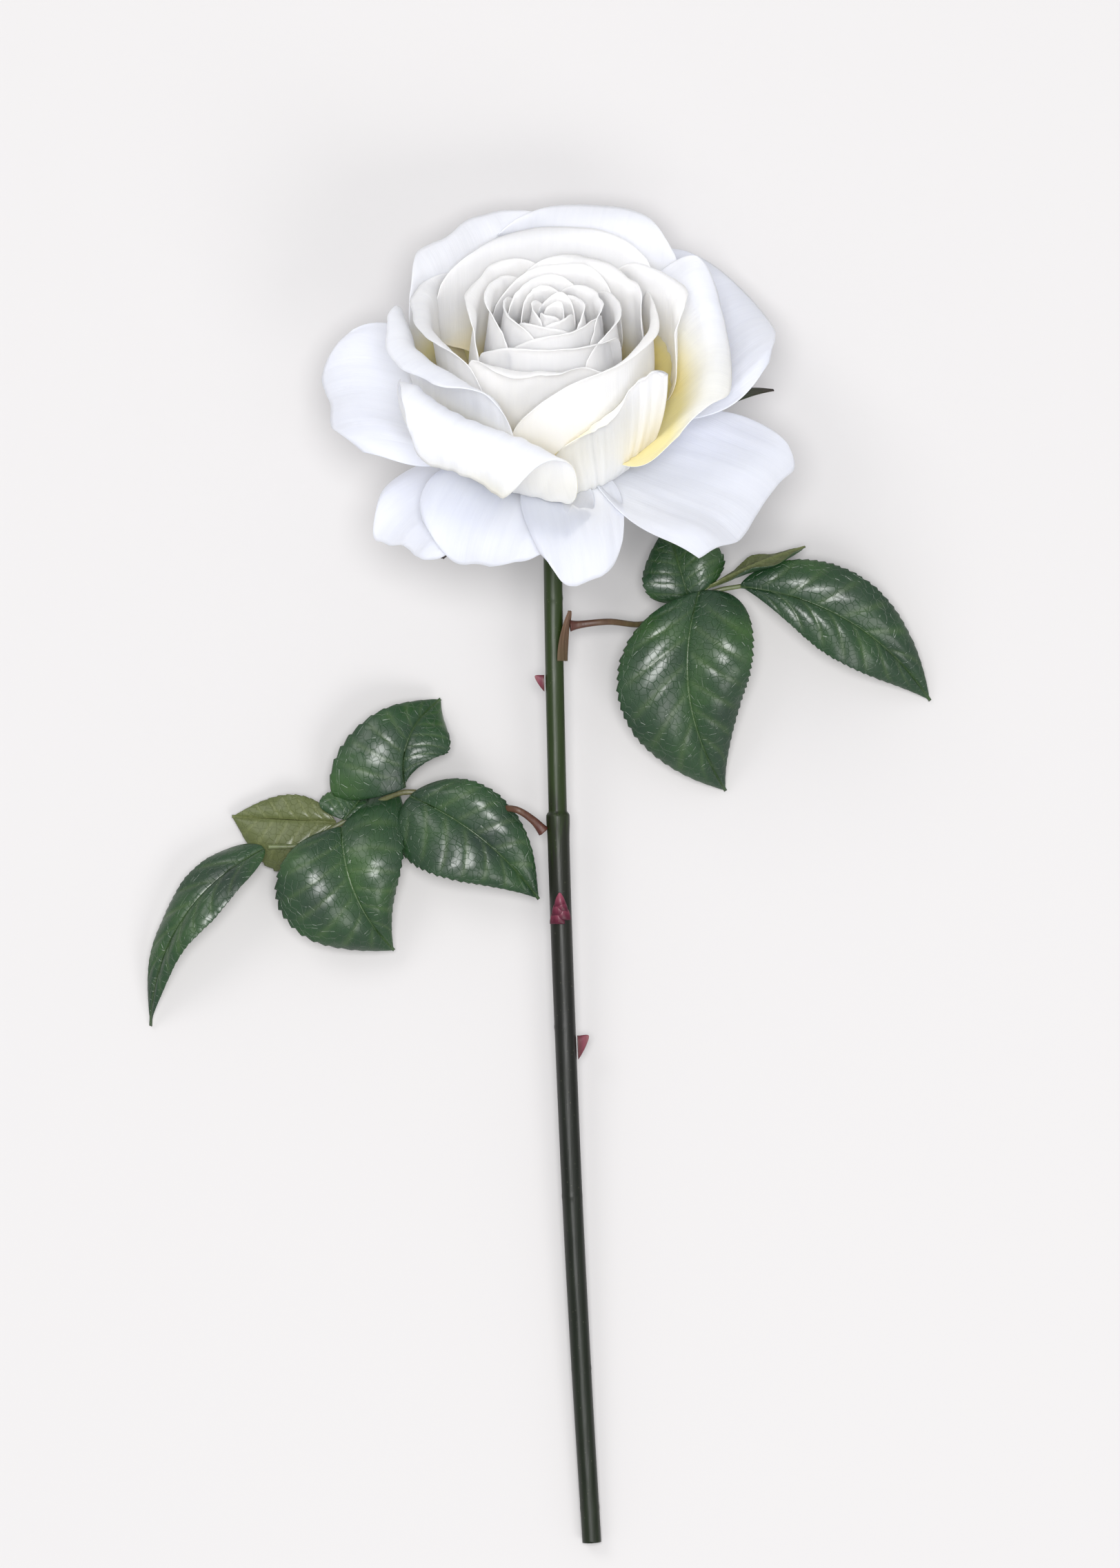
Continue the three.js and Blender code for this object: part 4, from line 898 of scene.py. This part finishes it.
def build_leaflets():
    for order, (name, shape) in enumerate(LEAFLETS.items()):
        grid, u, v, vein, plane = leaflet_grid({**LEAFLET, **shape}, order)
        grid[..., 2] += max(FLOOR + GAP - grid[..., 2].min(), 0)
        thickness = 0.42 - 0.2 * np.abs(u) ** 4 + 0.5 * np.exp(-((u * 22) ** 2)) * (1 - v)
        points, faces = sheet_mesh(grid, thickness)
        below = np.r_[np.zeros(u.size), np.ones(u.size)]
        values = dict(vein=np.tile(vein.ravel(), 2), under=1 - below if name in SHOWS_UNDERSIDE else below)
        flat = np.tile(plane.reshape(-1, 2), (2, 1)) / 100 + 0.5
        add_piece(f"{name}_blade", points, faces, LEAF, name, values, flat)


def stalk_places():
    def beside(drop, facing, clearance):
        share = stem_share_at(drop)
        reach = stem_radius_at(share) + clearance
        turn = math.radians(facing)
        return STEM_LINE.at(share) + np.array([math.cos(turn), 0, math.sin(turn)]) * reach

    def above(x, y, z):
        return np.array([x, y, z + FLOOR])

    left = [
        beside(106, 172, 0.9), beside(103, 168, 3.6), above(-9.5, -100.2, 17.5), above(-17, -99.6, 11.5),
        above(-28, -97.6, 9.5), above(-39.6, -95.4, 10), above(-49, -99, 8), above(-57.6, -104.1, 8),
        above(-67.5, -109.6, 8.5), above(-77, -110.2, 9.4),
    ]
    right = [
        beside(50.5, 12, 1.9), above(15, -49.4, 17.5), above(24, -50, 12), above(33, -47.6, 11),
        above(39.4, -43, 12.4), above(45, -40.8, 13), above(51, -39.7, 12.8),
    ]
    return dict(left=left, right=right)


def build_stalks():
    for side, places in stalk_places().items():
        line = Path(places)
        rows, sides = 220, 20
        shares = np.linspace(0.0005, 0.9995, rows)
        angle = np.linspace(0, 2 * math.pi, sides, endpoint=False)
        swollen = 0.72 * np.exp(-shares / 0.035)
        radius = STALK_RADIUS * lerp(1.02, 0.68, shares) + swollen
        groove = 0.16 * np.exp(-(((angle - math.pi / 2) / 0.5) ** 2))
        rings = round_tube(line, shares, radius[:, None] * (1 - groove)[None], sides)
        points, faces = tube_mesh(rings)
        values = dict(drop=np.r_[np.repeat(shares, sides), 0, 1])
        node = f"leaf_stalk_{side}"
        add_piece(f"{node}_rib", points, faces, STALK, node, values)


build_receptacle()
build_sepals()
build_stem()
build_thorns()
build_bract()
build_side_bud()
build_stalks()
build_leaflets()

# ---------------------------------------------------------------- floor, light and camera

def build_stage():
    mesh = bpy.data.meshes.new("floor")
    reach = 3.0
    corners = [(-reach, -reach, 0), (reach, -reach, 0), (reach, reach, 0), (-reach, reach, 0)]
    mesh.from_pydata(corners, [], [(0, 1, 2, 3)])
    s = Shader("floor_paper")
    s.value("Base Color", (0.625, 0.612, 0.612, 1))
    s.value("Roughness", 0.9)
    s.value("Specular IOR Level", 0.1)
    mesh.materials.append(s.material)
    floor = bpy.data.objects.new("floor", mesh)
    floor.location.z = -0.0004
    bpy.context.scene.collection.objects.link(floor)


def aimed(thing, place, target):
    thing.location = place
    thing.rotation_euler = (Vector(target) - Vector(place)).to_track_quat("-Z", "Y").to_euler()
    bpy.context.scene.collection.objects.link(thing)


def area_light(name, place, target, size, power, colour):
    data = bpy.data.lights.new(name, "AREA")
    data.shape = "DISK"
    data.size = size
    data.energy = power
    data.color = colour
    aimed(bpy.data.objects.new(name, data), place, target)


def build_light():
    world = bpy.data.worlds.new("studio")
    world.use_nodes = True
    sky = world.node_tree.nodes["Background"]
    sky.inputs[0].default_value = (0.97, 0.98, 1.0, 1)
    sky.inputs[1].default_value = 0.5
    bpy.context.scene.world = world
    bloom = tuple(BASE / 1000)
    area_light("key", (-1.5, 1.6, 2.3), bloom, 1.4, 16, (1.0, 0.99, 0.98))
    area_light("top", (0, 0.1, 3.4), (0, 0, 0), 1.2, 84, (1.0, 1.0, 1.0))
    area_light("fill", (1.0, -1.4, 2.1), (0, 0, 0), 1.3, 16, (1.0, 0.99, 0.98))


def build_camera():
    """Looks straight down, with the framing of a long lens 3 m away."""
    data = bpy.data.cameras.new("camera")
    distance = 3.0
    height = 0.4207  # metres of the surface from the top of the view to its foot
    data.sensor_fit = "VERTICAL"
    data.sensor_height = 24
    data.lens = data.sensor_height * distance / height
    camera = bpy.data.objects.new("camera", data)
    centre = BASE / 1000 + np.array([0.0021, -0.0932, 0])
    camera.location = (centre[0], centre[1], distance + BASE[2] / 1000)
    bpy.context.scene.collection.objects.link(camera)
    bpy.context.scene.camera = camera


build_stage()
build_light()
build_camera()
bpy.context.scene.view_settings.view_transform = "Standard"
